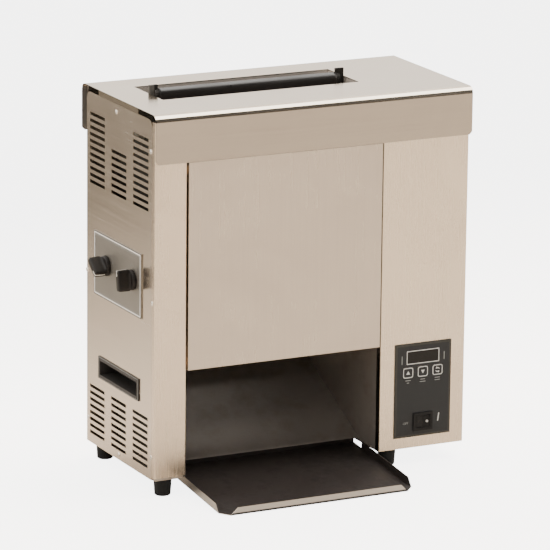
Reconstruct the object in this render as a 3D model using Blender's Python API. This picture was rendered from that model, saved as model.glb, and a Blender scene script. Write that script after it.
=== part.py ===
"""Vertical contact toaster, modelled as an assembly of separate parts.

Lengths are in metres. The parts are laid out in a working frame: X runs to the right from the left
end of the top cover, Y runs to the rear from the face of the cover's front apron, and Z runs up from
the underside of the body. One parent empty moves that frame, so that the origin of the finished part
lies under the middle of the whole toaster, on the surface that it stands on.
"""
import math

import bmesh
import bpy
from mathutils import Matrix, Vector

# Sheet metal, gaps and facets
SHEET = 0.0012
THICK_SHEET = 0.0015
SEAT_GAP = 0.0003
RUN_CLEARANCE = 0.0006
OVERRUN = 0.002
ROUND_SIDES = 24
SMALL_SIDES = 12
BEND_STEPS = 3
SHARP_ANGLE = math.radians(35.0)

# Body and top cover
BODY_HEIGHT = 0.540
BODY_DEPTH = 0.2368
BODY_SETBACK = 0.00275
COVER_RIGHT_OVERHANG = 0.0036
COVER_REAR_OVERHANG = 0.01845
APRON_HEIGHT = 0.0715
COVER_BEND_RADIUS = 0.010
APRON_CHAMFER = 0.0045
END_FLANGE_DROP = 0.008
END_FLANGE_RELIEF = 0.060
SHELL_CORNER_RADIUS = 0.012

# Feed slot in the cover
SLOT_LEFT_INSET = 0.007
SLOT_RIGHT_INSET = 0.0015
SLOT_FRONT = 0.097
SLOT_REAR_INSET = 0.04255
SLOT_FLANGE_DROP = 0.014

# Front columns, front panel, discharge opening and control bay, which make up the body's width
COLUMN_WIDTH = 0.0505
OUTLET_WIDTH = 0.315
CONTROL_BAY_WIDTH = 0.1419
OUTLET_HEIGHT = 0.1615
COLUMN_LIFT = 0.004
COLUMN_RETURN_DEPTH = 0.010
SEAM_DEPTH = 0.009
COLUMN_BEND_RADIUS = 0.0018
PANEL_SIDE_GAP = 0.0018
PANEL_TOP_GAP = 0.0005
PANEL_FACE_SETBACK = 0.0005
PANEL_FLANGE_DEPTH = 0.012
PANEL_CLIP_HEIGHT = 0.012
PANEL_CLIP_DEPTH = 0.004
RAIL_HEIGHT = 0.060
RAIL_FLANGE_DEPTH = 0.014

# Base pan and feet
PAN_FLANGE_HEIGHT = 0.012
PAN_HOOK_EDGE = 0.080
FOOT_HEIGHT = 0.025
FOOT_TOP_RADIUS = 0.0135
FOOT_BOTTOM_RADIUS = 0.0120
FOOT_EDGE_RADIUS = 0.0015
FOOT_STEM_RADIUS = 0.003
FOOT_STEM_LENGTH = 0.008
FOOT_LEFT_X = 0.0205
FOOT_RIGHT_OFFSET = 0.0215
FOOT_FRONT_Y = 0.0175
FOOT_REAR_INSET = 0.02005

# Vents in the side panels
VENT_LENGTH = 0.052
VENT_HEIGHT = 0.0048
VENT_PITCH = 0.01015
VENT_FRONT_Y = 0.0251
VENT_REAR_MARGIN = 0.01145
UPPER_VENT_DROP = 0.1415
LOWER_VENT_BOTTOM = 0.0167
UPPER_VENT_ROWS = 11
MIDDLE_VENT_ROWS = 7
LOWER_VENT_ROWS = 8

# Hand holds in the side panels
HOLD_LENGTH = 0.141
HOLD_HEIGHT = 0.0333
HOLD_DEPTH = 0.030
HOLD_RIM = 0.004
HOLD_WALL = 0.002
HOLD_FORWARD = 0.0009
HOLD_CENTRE_Z = 0.1243

# Adjustment plate, knobs and cams
PLATE_LENGTH = 0.1647
PLATE_HEIGHT = 0.0962
PLATE_REARWARD = 0.00235
PLATE_CENTRE_Z = 0.281
KNOB_SPACING = 0.090
KNOB_FORWARD = 0.009
KNOB_RISE = 0.004
KNOB_SKIRT_RADIUS = 0.0155
KNOB_SKIRT_DEPTH = 0.006
KNOB_DEPTH = 0.0245
KNOB_GRIP_LENGTH = 0.032
KNOB_GRIP_THICKNESS = 0.0115
KNOB_GRIP_BEVEL = 0.0015
KNOB_SOCKET_DEPTH = 0.014
KNOB_SHAFT_RADIUS = 0.004
KNOB_REST_ANGLE = math.radians(-8.0)
REAR_KNOB_REST_ANGLE = math.radians(128.0)
CAM_RADIUS = 0.010
CAM_THICKNESS = 0.010
CAM_INSET = 0.014
CAM_STEPS = 32
KNOB_TRAVEL = math.radians(60.0)
CONVEYOR_TILT = math.radians(1.0)
FOLLOWER_RADIUS = 0.004
FOLLOWER_LUG_HEIGHT = 0.016

# Bulkheads on either side of the toasting chamber
LEFT_BULKHEAD_INSET = 0.0015
RIGHT_BULKHEAD_OFFSET = 0.009
THERMOSTAT_RADIUS = 0.008
THERMOSTAT_DEPTH = 0.010
THERMOSTAT_DROP = 0.060

# Heated platen, its heaters and the release sheet
PLATEN_SIDE_CLEARANCE = 0.0085
PLATEN_THICKNESS = 0.016
PLATEN_LIFT = 0.0135
PLATEN_RISE = 0.0055
END_STOP_RISE = 0.012
END_STOP_THICKNESS = 0.004
EAR_HEIGHT = 0.020
EAR_THICKNESS = 0.010
EAR_PLACE_SHARES = (0.12, 0.84)
HEATER_RADIUS = 0.0045
HEATER_PLACE_SHARES = (0.25, 0.62)
HEATER_TAIL = 0.009
RELEASE_SHEET_THICKNESS = 0.0006
RELEASE_SHEET_MARGIN = 0.006
RELEASE_SHEET_LIFT = 0.0245

# Conveyors
DRIVE_SHAFT_LIFT = 0.0285
IDLER_SHAFT_DROP = 0.040
ROLLER_RADIUS = 0.014
ROLLER_END_GAP = 0.0015
BELT_THICKNESS = 0.0015
BELT_END_GAP = 0.002
BELT_TO_SLOT = 0.0006
SHAFT_RADIUS = 0.005
JOURNAL_RADIUS = 0.004
BAR_THICKNESS = 0.003
BAR_WIDTH = 0.024
BAR_INSET = 0.0065
BAR_END_OVERHANG = 0.012
CROSS_BAR_DEPTH = 0.012
CROSS_BAR_HEIGHT = 0.016
CROSS_BAR_PLACE_SHARES = (0.22, 0.80)
SHAFT_LEFT_TAIL = 0.008
BEARING_SLEEVE_RADIUS = 0.009
BEARING_FLANGE_RADIUS = 0.013
BEARING_FLANGE_DEPTH = 0.003
BEARING_REACH = 0.003

# Chain drive and gearmotor
CHAIN_THICKNESS = 0.003
CHAIN_WIDTH = 0.005
CHAIN_STANDOFF = 0.0095
MOTOR_PITCH_RADIUS = 0.012
IDLER_PITCH_RADIUS = 0.012
DRIVEN_PITCH_RADIUS = 0.018
SPROCKET_WIDTH = 0.004
SPROCKET_TOOTH_DEPTH = 0.0012
SPROCKET_HUB_DEPTH = 0.005
SPROCKET_HUB_WALL = 0.003
SMALL_SPROCKET_TEETH = 10
DRIVEN_SPROCKET_TEETH = 15
MOTOR_AXIS_REARWARD = 0.0235
MOTOR_AXIS_RISE = 0.072
CHAIN_IDLER_REARWARD = 0.0105
CHAIN_IDLER_DROP = 0.062
CHAIN_IDLER_STUD_RADIUS = 0.004
ARC_STEP = math.radians(18.0)
BRACKET_STANDOFF = 0.0225
BRACKET_THICKNESS = 0.0025
BRACKET_LENGTH = 0.070
BRACKET_HEIGHT = 0.076
GEARBOX_LENGTH = 0.058
GEARBOX_HEIGHT = 0.064
GEARBOX_DEPTH = 0.036
MOTOR_RADIUS = 0.027
MOTOR_END_CLEARANCE = 0.0166
MOTOR_SHAFT_RADIUS = 0.005
MOTOR_SHAFT_DEPTH = 0.012

# Discharge chute and tray
CHUTE_FRONT_Y = 0.068
CHUTE_FRONT_Z = 0.006
CHUTE_SLOPE = math.radians(26.0)
CHUTE_CHEEK_DROP = 0.0035
TRAY_REACH = 0.118
TRAY_SIDE_CLEARANCE = 0.0015
TRAY_LIP = 0.0115
TRAY_SLOPE = math.radians(5.5)
TRAY_FLOOR_CLEARANCE = 0.0003
TRAY_CORNER = 0.013
TRAY_FLANGE_REACH = 0.052
TRAY_HOOK_DEPTH = 0.012

# Control overlay and the controls on it
OVERLAY_OFFSET = 0.00095
OVERLAY_WIDTH = 0.0936
OVERLAY_BOTTOM = 0.0170
OVERLAY_HEIGHT = 0.1434
OVERLAY_THICKNESS = 0.0012
DISPLAY_OFFSET = 0.00035
DISPLAY_WIDTH = 0.0546
DISPLAY_BOTTOM = 0.1287
DISPLAY_HEIGHT = 0.0208
DISPLAY_PROUD = 0.0003
WINDOW_RIM = 0.002
KEY_OFFSET = 0.0006
KEY_PITCH = 0.02465
KEY_CENTRE_Z = 0.116
KEY_WIDTH = 0.0175
KEY_HEIGHT = 0.0164
KEY_THICKNESS = 0.0008
KEY_PROUD = 0.0003
KEY_TRAVEL = 0.0006
KEY_STEM_RADIUS = 0.003
SWITCH_OFFSET = 0.00155
SWITCH_CENTRE_Z = 0.0394
SWITCH_WIDTH = 0.0321
SWITCH_HEIGHT = 0.0272
SWITCH_BEZEL_RIM = 0.0028
SWITCH_BEZEL_PROUD = 0.0018
SWITCH_BODY_DEPTH = 0.018
PADDLE_HEIGHT_CLEARANCE = 0.0006
PADDLE_AXIS_DEPTH = 0.0035
PADDLE_EDGE_LIFT = 0.0042
PADDLE_VALLEY = 0.0022
PADDLE_BACK = 0.004
PADDLE_REST_ANGLE = math.radians(8.0)
BOARD_SETBACK = 0.012
BOARD_THICKNESS = 0.0016
BOARD_LEFT_MARGIN = 0.008
BOARD_RIGHT_MARGIN = 0.0159
BOARD_BOTTOM = 0.062
BOARD_HEIGHT = 0.094
BOARD_POST_RADIUS = 0.0025
BOARD_POST_INSET = 0.005
BOARD_SWITCH_HALF = 0.003

# Cooling fan and cord inlet in the control bay
FAN_OFFSET = 0.00355
FAN_CENTRE_Z = 0.088
FAN_SIZE = 0.080
FAN_DEPTH = 0.025
FAN_BORE_RADIUS = 0.0375
FAN_HUB_RADIUS = 0.018
FAN_BLADES = 7
FAN_BLADE_THICKNESS = 0.0016
FAN_BLADE_CLEARANCE = 0.0015
FAN_BLADE_PITCH = math.radians(35.0)
FAN_ROTOR_DEPTH = 0.016
FAN_STRUTS = 3
FAN_STRUT_WIDTH = 0.005
FAN_STRUT_DEPTH = 0.003
FAN_PIN_RADIUS = 0.002
FAN_VENT_ROWS = 7
FAN_VENT_HEIGHT = 0.005
FAN_VENT_PITCH = 0.0095
GLAND_Z = 0.028
GLAND_RADIUS = 0.011
GLAND_THREAD_RADIUS = 0.008
GLAND_BORE_RADIUS = 0.0045
GLAND_OUTER_LENGTH = 0.012
GLAND_INNER_LENGTH = 0.010

# Places that follow from the sizes above
OUTLET_RIGHT = COLUMN_WIDTH + OUTLET_WIDTH
BODY_WIDTH = OUTLET_RIGHT + CONTROL_BAY_WIDTH
COVER_WIDTH = BODY_WIDTH + COVER_RIGHT_OVERHANG
BODY_FRONT = BODY_SETBACK
BODY_REAR = BODY_FRONT + BODY_DEPTH
COVER_DEPTH = BODY_REAR + COVER_REAR_OVERHANG
SEAM_Y = BODY_FRONT + SEAM_DEPTH
SIDE_CENTRE_Y = (SEAM_Y + BODY_REAR) / 2
SHELL_TOP = BODY_HEIGHT - END_FLANGE_DROP - SEAT_GAP
FRAME_TOP = BODY_HEIGHT - SHEET - SEAT_GAP
COLUMN_TOP = BODY_HEIGHT - COVER_BEND_RADIUS - SEAT_GAP
LEFT_BULKHEAD_FACE = COLUMN_WIDTH - LEFT_BULKHEAD_INSET
RIGHT_BULKHEAD_FACE = OUTLET_RIGHT + RIGHT_BULKHEAD_OFFSET
SLOT_LEFT = LEFT_BULKHEAD_FACE + SLOT_LEFT_INSET
SLOT_RIGHT = RIGHT_BULKHEAD_FACE - SLOT_RIGHT_INSET
SLOT_REAR = BODY_REAR - SLOT_REAR_INSET
SLOT_CENTRE_X = (SLOT_LEFT + SLOT_RIGHT) / 2
SLOT_CENTRE_Y = (SLOT_FRONT + SLOT_REAR) / 2
INNER_FRONT = BODY_FRONT + SHEET + SEAT_GAP
INNER_REAR = BODY_REAR - SHEET - SEAT_GAP
INNER_LEFT = SHEET + SEAT_GAP
INNER_RIGHT = BODY_WIDTH - SHEET - SEAT_GAP
FLOOR_TOP = SHEET + SEAT_GAP
FOOT_RIGHT_X = OUTLET_RIGHT + FOOT_RIGHT_OFFSET
FOOT_REAR_Y = BODY_REAR - FOOT_REAR_INSET
VENT_COLUMN_PITCH = (BODY_REAR - VENT_REAR_MARGIN - VENT_LENGTH - VENT_FRONT_Y) / 2
UPPER_VENT_BOTTOM = BODY_HEIGHT - UPPER_VENT_DROP
HOLD_CENTRE_Y = SIDE_CENTRE_Y - HOLD_FORWARD
PLATE_CENTRE_Y = SIDE_CENTRE_Y + PLATE_REARWARD
LEFT_BULKHEAD_X = (LEFT_BULKHEAD_FACE - THICK_SHEET, LEFT_BULKHEAD_FACE)
RIGHT_BULKHEAD_X = (RIGHT_BULKHEAD_FACE, RIGHT_BULKHEAD_FACE + THICK_SHEET)
DRIVE_SHAFT_Z = OUTLET_HEIGHT + DRIVE_SHAFT_LIFT
IDLER_SHAFT_Z = BODY_HEIGHT - IDLER_SHAFT_DROP
BELT_RADIUS = ROLLER_RADIUS + RUN_CLEARANCE + BELT_THICKNESS
FRONT_CONVEYOR_Y = SLOT_FRONT + BELT_TO_SLOT - BELT_RADIUS
REAR_CONVEYOR_Y = SLOT_REAR - BELT_TO_SLOT + BELT_RADIUS
LEFT_BAR_X = (LEFT_BULKHEAD_FACE + BAR_INSET, LEFT_BULKHEAD_FACE + BAR_INSET + BAR_THICKNESS)
RIGHT_BAR_X = (RIGHT_BULKHEAD_FACE - BAR_INSET - BAR_THICKNESS, RIGHT_BULKHEAD_FACE - BAR_INSET)
KNOB_Z = PLATE_CENTRE_Z + KNOB_RISE
FRONT_KNOB_Y = PLATE_CENTRE_Y - KNOB_FORWARD - KNOB_SPACING / 2
REAR_KNOB_Y = PLATE_CENTRE_Y - KNOB_FORWARD + KNOB_SPACING / 2
FOLLOWER_OFFSET = CAM_RADIUS + SEAT_GAP + FOLLOWER_RADIUS
PLATEN_TOP = BODY_HEIGHT + PLATEN_RISE
PLATEN_BOTTOM = OUTLET_HEIGHT + PLATEN_LIFT
RELEASE_SHEET_BOTTOM = OUTLET_HEIGHT + RELEASE_SHEET_LIFT
PLATEN_LEFT = SLOT_LEFT + PLATEN_SIDE_CLEARANCE
PLATEN_RIGHT = SLOT_RIGHT - PLATEN_SIDE_CLEARANCE
PLATE_OUTER_X = -SEAT_GAP - THICK_SHEET
KNOB_BASE_X = PLATE_OUTER_X - RUN_CLEARANCE
BAY_CENTRE_X = OUTLET_RIGHT + CONTROL_BAY_WIDTH / 2
OVERLAY_CENTRE_X = BAY_CENTRE_X + OVERLAY_OFFSET
DISPLAY_CENTRE_X = BAY_CENTRE_X + DISPLAY_OFFSET
SWITCH_CENTRE_X = BAY_CENTRE_X + SWITCH_OFFSET
FAN_CENTRE_X = BAY_CENTRE_X + FAN_OFFSET
OVERLAY_BACK_Y = BODY_FRONT - SEAT_GAP
OVERLAY_FACE_Y = OVERLAY_BACK_Y - OVERLAY_THICKNESS
BOARD_Y = BODY_FRONT + BOARD_SETBACK
CHAIN_PLANE_X = RIGHT_BULKHEAD_X[1] + CHAIN_STANDOFF
BRACKET_PLANE_X = RIGHT_BULKHEAD_X[1] + BRACKET_STANDOFF
MOTOR_AXIS_Y = FRONT_CONVEYOR_Y + MOTOR_AXIS_REARWARD
MOTOR_AXIS_Z = DRIVE_SHAFT_Z + MOTOR_AXIS_RISE
CHAIN_IDLER_Y = FRONT_CONVEYOR_Y + CHAIN_IDLER_REARWARD
CHAIN_IDLER_Z = DRIVE_SHAFT_Z - CHAIN_IDLER_DROP
CHAIN_WHEELS = (
    (MOTOR_AXIS_Y, MOTOR_AXIS_Z, MOTOR_PITCH_RADIUS, 1),
    (FRONT_CONVEYOR_Y, DRIVE_SHAFT_Z, DRIVEN_PITCH_RADIUS, -1),
    (CHAIN_IDLER_Y, CHAIN_IDLER_Z, IDLER_PITCH_RADIUS, 1),
    (REAR_CONVEYOR_Y, DRIVE_SHAFT_Z, DRIVEN_PITCH_RADIUS, 1),
)
MIDDLE_X = (KNOB_BASE_X - KNOB_DEPTH + COVER_WIDTH) / 2
TRAY_FRONT = -TRAY_REACH - TRAY_LIP * math.sin(TRAY_SLOPE)
MIDDLE_Y = (COVER_DEPTH + TRAY_FRONT) / 2

# Finishes: base colour, roughness and metallic value
STAINLESS = ((0.60, 0.56, 0.51, 1.0), 0.32, 1.0)
DARK_STEEL = ((0.20, 0.20, 0.19, 1.0), 0.45, 1.0)
PLATED_STEEL = ((0.52, 0.52, 0.50, 1.0), 0.38, 1.0)
CAST_ALUMINIUM = ((0.50, 0.50, 0.50, 1.0), 0.50, 1.0)
RELEASE_BLACK = ((0.02, 0.02, 0.02, 1.0), 0.55, 0.0)
COATED_BROWN = ((0.045, 0.035, 0.033, 1.0), 0.50, 0.0)
BLACK_PLASTIC = ((0.025, 0.025, 0.028, 1.0), 0.45, 0.0)
BLACK_RUBBER = ((0.020, 0.022, 0.022, 1.0), 0.70, 0.0)
OVERLAY_GREY = ((0.075, 0.075, 0.078, 1.0), 0.50, 0.0)
BELT_GREY = ((0.16, 0.16, 0.15, 1.0), 0.60, 0.0)
BRONZE = ((0.45, 0.30, 0.14, 1.0), 0.40, 1.0)
BOARD_GREEN = ((0.03, 0.13, 0.06, 1.0), 0.50, 0.0)
SMOKED_LENS = ((0.035, 0.02, 0.02, 1.0), 0.10, 0.0)
CERAMIC = ((0.70, 0.68, 0.60, 1.0), 0.50, 0.0)


def clear_scene():
    """Remove every object that the file holds."""
    for thing in list(bpy.data.objects):
        bpy.data.objects.remove(thing)


def on_plane(axis, along, u, v):
    """Point at `along` on an axis, with u and v on the other two axes in X, Y, Z order."""
    places = {"x": (along, u, v), "y": (u, along, v), "z": (u, v, along)}
    return Vector(places[axis])


def closed(shape):
    """Turn every face of a closed shape outwards."""
    bmesh.ops.recalc_face_normals(shape, faces=shape.faces)
    return shape


def prism(axis, outline, start, end):
    """Closed outline carried along an axis from start to end."""
    shape = bmesh.new()
    first = [shape.verts.new(on_plane(axis, start, u, v)) for u, v in outline]
    last = [shape.verts.new(on_plane(axis, end, u, v)) for u, v in outline]
    shape.faces.new(first)
    shape.faces.new(last)
    for i, low in enumerate(first):
        j = (i + 1) % len(first)
        shape.faces.new((low, first[j], last[j], last[i]))
    return closed(shape)


def band(axis, outer, inner, start, end):
    """Ring between two closed outlines of as many points, carried along an axis."""
    shape = bmesh.new()
    loops = [
        [shape.verts.new(on_plane(axis, along, u, v)) for u, v in outline]
        for along in (start, end)
        for outline in (outer, inner)
    ]
    outer_start, inner_start, outer_end, inner_end = loops
    pairs = (
        (outer_start, inner_start),
        (outer_end, inner_end),
        (outer_start, outer_end),
        (inner_start, inner_end),
    )
    for one, other in pairs:
        for i, corner in enumerate(one):
            j = (i + 1) % len(one)
            shape.faces.new((corner, one[j], other[j], other[i]))
    return closed(shape)


def box(x_range, y_range, z_range):
    """Box between two values on each axis."""
    (x0, x1), (y0, y1), (z0, z1) = x_range, y_range, z_range
    return prism("z", ((x0, y0), (x1, y0), (x1, y1), (x0, y1)), z0, z1)


def centred(middle, size):
    """Range of a size about its middle."""
    return middle - size / 2, middle + size / 2


def grown(span, margin):
    """Range made longer by a margin at both ends."""
    return span[0] - margin, span[1] + margin


def rod(axis, centre, radius, start, end, sides=ROUND_SIDES):
    """Round bar along an axis, centred on the other two axes."""
    return prism(axis, circle(centre, radius, sides), start, end)


def circle(centre, radius, sides=ROUND_SIDES):
    """Points round a circle."""
    turn = 2 * math.pi / sides
    return [
        (centre[0] + radius * math.cos(turn * i), centre[1] + radius * math.sin(turn * i))
        for i in range(sides)
    ]


def arc(centre, radius, first, last, steps=BEND_STEPS):
    """Points along an arc from one angle to another."""
    return [
        (
            centre[0] + radius * math.cos(first + (last - first) * i / steps),
            centre[1] + radius * math.sin(first + (last - first) * i / steps),
        )
        for i in range(steps + 1)
    ]


def turned(axis, centre, profile, sides=ROUND_SIDES):
    """Body turned about an axis from a closed profile of (radius, place along the axis)."""
    shape = bmesh.new()
    rings = []
    for radius, along in profile:
        if radius == 0:
            rings.append([shape.verts.new(on_plane(axis, along, *centre))] * sides)
            continue
        points = circle(centre, radius, sides)
        rings.append([shape.verts.new(on_plane(axis, along, u, v)) for u, v in points])
    for k, ring in enumerate(rings):
        following = rings[(k + 1) % len(rings)]
        for i in range(sides):
            j = (i + 1) % sides
            corners = list(dict.fromkeys((ring[i], ring[j], following[j], following[i])))
            if len(corners) > 2:
                shape.faces.new(corners)
    return closed(shape)


def joined(shapes):
    """Several separate shapes kept in one mesh, for use as one cutter."""
    whole = bmesh.new()
    for shape in shapes:
        mesh = bpy.data.meshes.new("joined_part")
        shape.to_mesh(mesh)
        whole.from_mesh(mesh)
        bpy.data.meshes.remove(mesh)
        shape.free()
    return whole


def moved(shape, matrix):
    """Shape carried by a matrix."""
    bmesh.ops.transform(shape, matrix=matrix, verts=shape.verts)
    return shape


def link(name, shape, origin):
    """Object whose own origin lies at a point of the working frame."""
    shape.transform(Matrix.Translation(-Vector(origin)))
    mesh = bpy.data.meshes.new(name)
    shape.to_mesh(mesh)
    shape.free()
    thing = bpy.data.objects.new(name, mesh)
    bpy.context.scene.collection.objects.link(thing)
    thing.location = origin
    thing.parent = bpy.data.objects["working_frame"]
    return thing


def finish(name, look):
    """Material of one part, from its colour, roughness and metallic value."""
    colour, roughness, metallic = look
    material = bpy.data.materials.new(name)
    material.use_nodes = True
    surface = material.node_tree.nodes["Principled BSDF"]
    surface.inputs["Base Color"].default_value = colour
    surface.inputs["Roughness"].default_value = roughness
    surface.inputs["Metallic"].default_value = metallic
    material.diffuse_color = colour
    return material


def piece(name, look, shape, add=(), cut=(), origin=(0, 0, 0), smooth=False, add_last=()):
    """One named part: a shape, those joined to it, those cut from it, and those joined last."""
    thing = link(name, shape, origin)
    thing.data.materials.append(finish(name, look))
    for step, shapes in (("add", add), ("cut", cut), ("add_last", add_last)):
        for i, other in enumerate(shapes):
            helper = link(f"{name}_{step}_{i}", other, origin)
            helper.hide_render = True
            helper.display_type = "WIRE"
            modifier = thing.modifiers.new(helper.name, "BOOLEAN")
            modifier.operation = "DIFFERENCE" if step == "cut" else "UNION"
            modifier.object = helper
            modifier.solver = "EXACT"
    if smooth:
        thing.data.shade_smooth()
        thing.data.set_sharp_from_angle(angle=SHARP_ANGLE)
    return thing


def folded_sheet(path, thickness, radius):
    """Outline of a sheet bent along a path that turns left, with round outer and inner bends.

    The path runs along the sheet's outer face, and the sheet lies to its left.
    """
    points = [Vector(point) for point in path]
    outer = [tuple(points[0])]
    inner = [tuple(points[0] + left_of(points[1] - points[0]) * thickness)]
    for before, corner, after in zip(points, points[1:], points[2:]):
        come = (corner - before).normalized()
        leave = (after - corner).normalized()
        turn = math.atan2(come.cross(leave), come.dot(leave))
        centre = corner - come * radius * math.tan(turn / 2) + left_of(come) * radius
        first = math.atan2(-come.x, come.y)
        outer += arc(centre, radius, first, first + turn)
        inner += arc(centre, radius - thickness, first, first + turn)
    outer.append(tuple(points[-1]))
    inner.append(tuple(points[-1] + left_of(points[-1] - points[-2]) * thickness))
    return outer + inner[::-1]


def left_of(direction):
    """Unit vector to the left of a direction."""
    return Vector((-direction.y, direction.x)).normalized()


def make_base_pan():
    """Floor of the body, cut away at the discharge opening, with upturned edges."""
    outline = (
        (INNER_LEFT, INNER_FRONT),
        (COLUMN_WIDTH, INNER_FRONT),
        (COLUMN_WIDTH, PAN_HOOK_EDGE),
        (OUTLET_RIGHT, PAN_HOOK_EDGE),
        (OUTLET_RIGHT, INNER_FRONT),
        (INNER_RIGHT, INNER_FRONT),
        (INNER_RIGHT, INNER_REAR),
        (INNER_LEFT, INNER_REAR),
    )
    rise = (0, PAN_FLANGE_HEIGHT)
    edges = (
        box((INNER_LEFT, INNER_LEFT + SHEET), (INNER_FRONT, INNER_REAR), rise),
        box((INNER_RIGHT - SHEET, INNER_RIGHT), (INNER_FRONT, INNER_REAR), rise),
        box((INNER_LEFT, INNER_RIGHT), (INNER_REAR - SHEET, INNER_REAR), rise),
        box((INNER_LEFT, LEFT_BULKHEAD_X[0] - SEAT_GAP), (INNER_FRONT, INNER_FRONT + SHEET), rise),
        box((RIGHT_BULKHEAD_X[1] + SEAT_GAP, INNER_RIGHT), (INNER_FRONT, INNER_FRONT + SHEET), rise),
    )
    notch = box(
        (OUTLET_RIGHT - OVERRUN, OUTLET_RIGHT + SHEET + SEAT_GAP),
        (INNER_FRONT - OVERRUN, BODY_FRONT + COLUMN_RETURN_DEPTH + SEAT_GAP),
        (-OVERRUN, SHEET + OVERRUN),
    )
    stems = [
        rod("z", (x, y), FOOT_STEM_RADIUS + SEAT_GAP, -OVERRUN, SHEET + OVERRUN, SMALL_SIDES)
        for x in (FOOT_LEFT_X, FOOT_RIGHT_X)
        for y in (FOOT_FRONT_Y, FOOT_REAR_Y)
    ]
    piece("base_pan", STAINLESS, prism("z", outline, 0, SHEET), edges, [notch, joined(stems)])


def make_feet():
    """Four rubber feet, each with the stud that holds it in the base pan."""
    lowest = -FOOT_HEIGHT
    profile = (
        (0, lowest),
        (FOOT_BOTTOM_RADIUS - FOOT_EDGE_RADIUS, lowest),
        (FOOT_BOTTOM_RADIUS, lowest + FOOT_EDGE_RADIUS),
        (FOOT_TOP_RADIUS, -SEAT_GAP),
        (FOOT_STEM_RADIUS, -SEAT_GAP),
        (FOOT_STEM_RADIUS, FOOT_STEM_LENGTH),
        (0, FOOT_STEM_LENGTH),
    )
    for side, x in (("left", FOOT_LEFT_X), ("right", FOOT_RIGHT_X)):
        for end, y in (("front", FOOT_FRONT_Y), ("rear", FOOT_REAR_Y)):
            piece(f"{end}_{side}_foot", BLACK_RUBBER, turned("z", (x, y), profile), smooth=True)


def vent_slots(x_range):
    """Every vent slot of one side panel, as cutters."""
    blocks = (
        (0, UPPER_VENT_BOTTOM, UPPER_VENT_ROWS),
        (1, UPPER_VENT_BOTTOM, MIDDLE_VENT_ROWS),
        (2, UPPER_VENT_BOTTOM, UPPER_VENT_ROWS),
        (0, LOWER_VENT_BOTTOM, LOWER_VENT_ROWS),
        (1, LOWER_VENT_BOTTOM, LOWER_VENT_ROWS),
        (2, LOWER_VENT_BOTTOM, LOWER_VENT_ROWS),
    )
    slots = []
    for column, bottom, rows in blocks:
        front = VENT_FRONT_Y + column * VENT_COLUMN_PITCH
        for row in range(rows):
            middle = bottom + row * VENT_PITCH
            slots.append(box(x_range, (front, front + VENT_LENGTH), centred(middle, VENT_HEIGHT)))
    return joined(slots)


def hold_opening(x_range):
    """Cutter for the hole that a hand hold sits in."""
    shrink = -HOLD_RIM + SEAT_GAP
    along = grown(centred(HOLD_CENTRE_Y, HOLD_LENGTH), shrink)
    upright = grown(centred(HOLD_CENTRE_Z, HOLD_HEIGHT), shrink)
    return box(x_range, along, upright)


def knob_holes(radius, start, end):
    """Cutters for the two adjustment shafts."""
    return joined(
        rod("x", (y, KNOB_Z), radius, start, end, SMALL_SIDES) for y in (FRONT_KNOB_Y, REAR_KNOB_Y)
    )


def make_side_panels():
    """Left and right outer panels, with vents and the holes for the hand holds."""
    front = SEAM_Y + SEAT_GAP
    radius = SHELL_CORNER_RADIUS
    outline = [(front, 0), (BODY_REAR, 0)]
    outline += arc((BODY_REAR - radius, SHELL_TOP - radius), radius, 0, math.pi / 2)
    outline += arc((front + radius, SHELL_TOP - radius), radius, math.pi / 2, math.pi)
    for name, start in (("left_side_panel", 0), ("right_side_panel", BODY_WIDTH - SHEET)):
        through = (start - OVERRUN, start + SHEET + OVERRUN)
        cuts = [vent_slots(through), hold_opening(through)]
        if name == "left_side_panel":
            cuts.append(knob_holes(KNOB_SHAFT_RADIUS + RUN_CLEARANCE, *through))
        piece(name, STAINLESS, prism("x", outline, start, start + SHEET), cut=cuts)


def make_back_panel():
    """Rear panel with the fan's vent slots and the hole for the cord inlet."""
    inside = (INNER_LEFT, INNER_RIGHT)
    plate = box(inside, (BODY_REAR - SHEET, BODY_REAR), (0, FRAME_TOP))
    through = grown((BODY_REAR - SHEET, BODY_REAR), OVERRUN)
    slots = []
    for row in range(FAN_VENT_ROWS):
        offset = (row - (FAN_VENT_ROWS - 1) / 2) * FAN_VENT_PITCH
        reach = math.sqrt(FAN_BORE_RADIUS**2 - offset**2)
        upright = centred(FAN_CENTRE_Z + offset, FAN_VENT_HEIGHT)
        slots.append(box(centred(FAN_CENTRE_X, 2 * reach), through, upright))
    inlet = rod("y", (FAN_CENTRE_X, GLAND_Z), GLAND_THREAD_RADIUS + SEAT_GAP, *through)
    piece("back_panel", STAINLESS, plate, cut=[joined(slots), inlet])


def make_left_front_column():
    """Left front column, which wraps round the corner of the body."""
    path = (
        (0, SEAM_Y),
        (0, BODY_FRONT),
        (COLUMN_WIDTH, BODY_FRONT),
        (COLUMN_WIDTH, BODY_FRONT + COLUMN_RETURN_DEPTH),
    )
    outline = folded_sheet(path, SHEET, COLUMN_BEND_RADIUS)
    piece("left_front_column", STAINLESS, prism("z", outline, COLUMN_LIFT, COLUMN_TOP))


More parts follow.
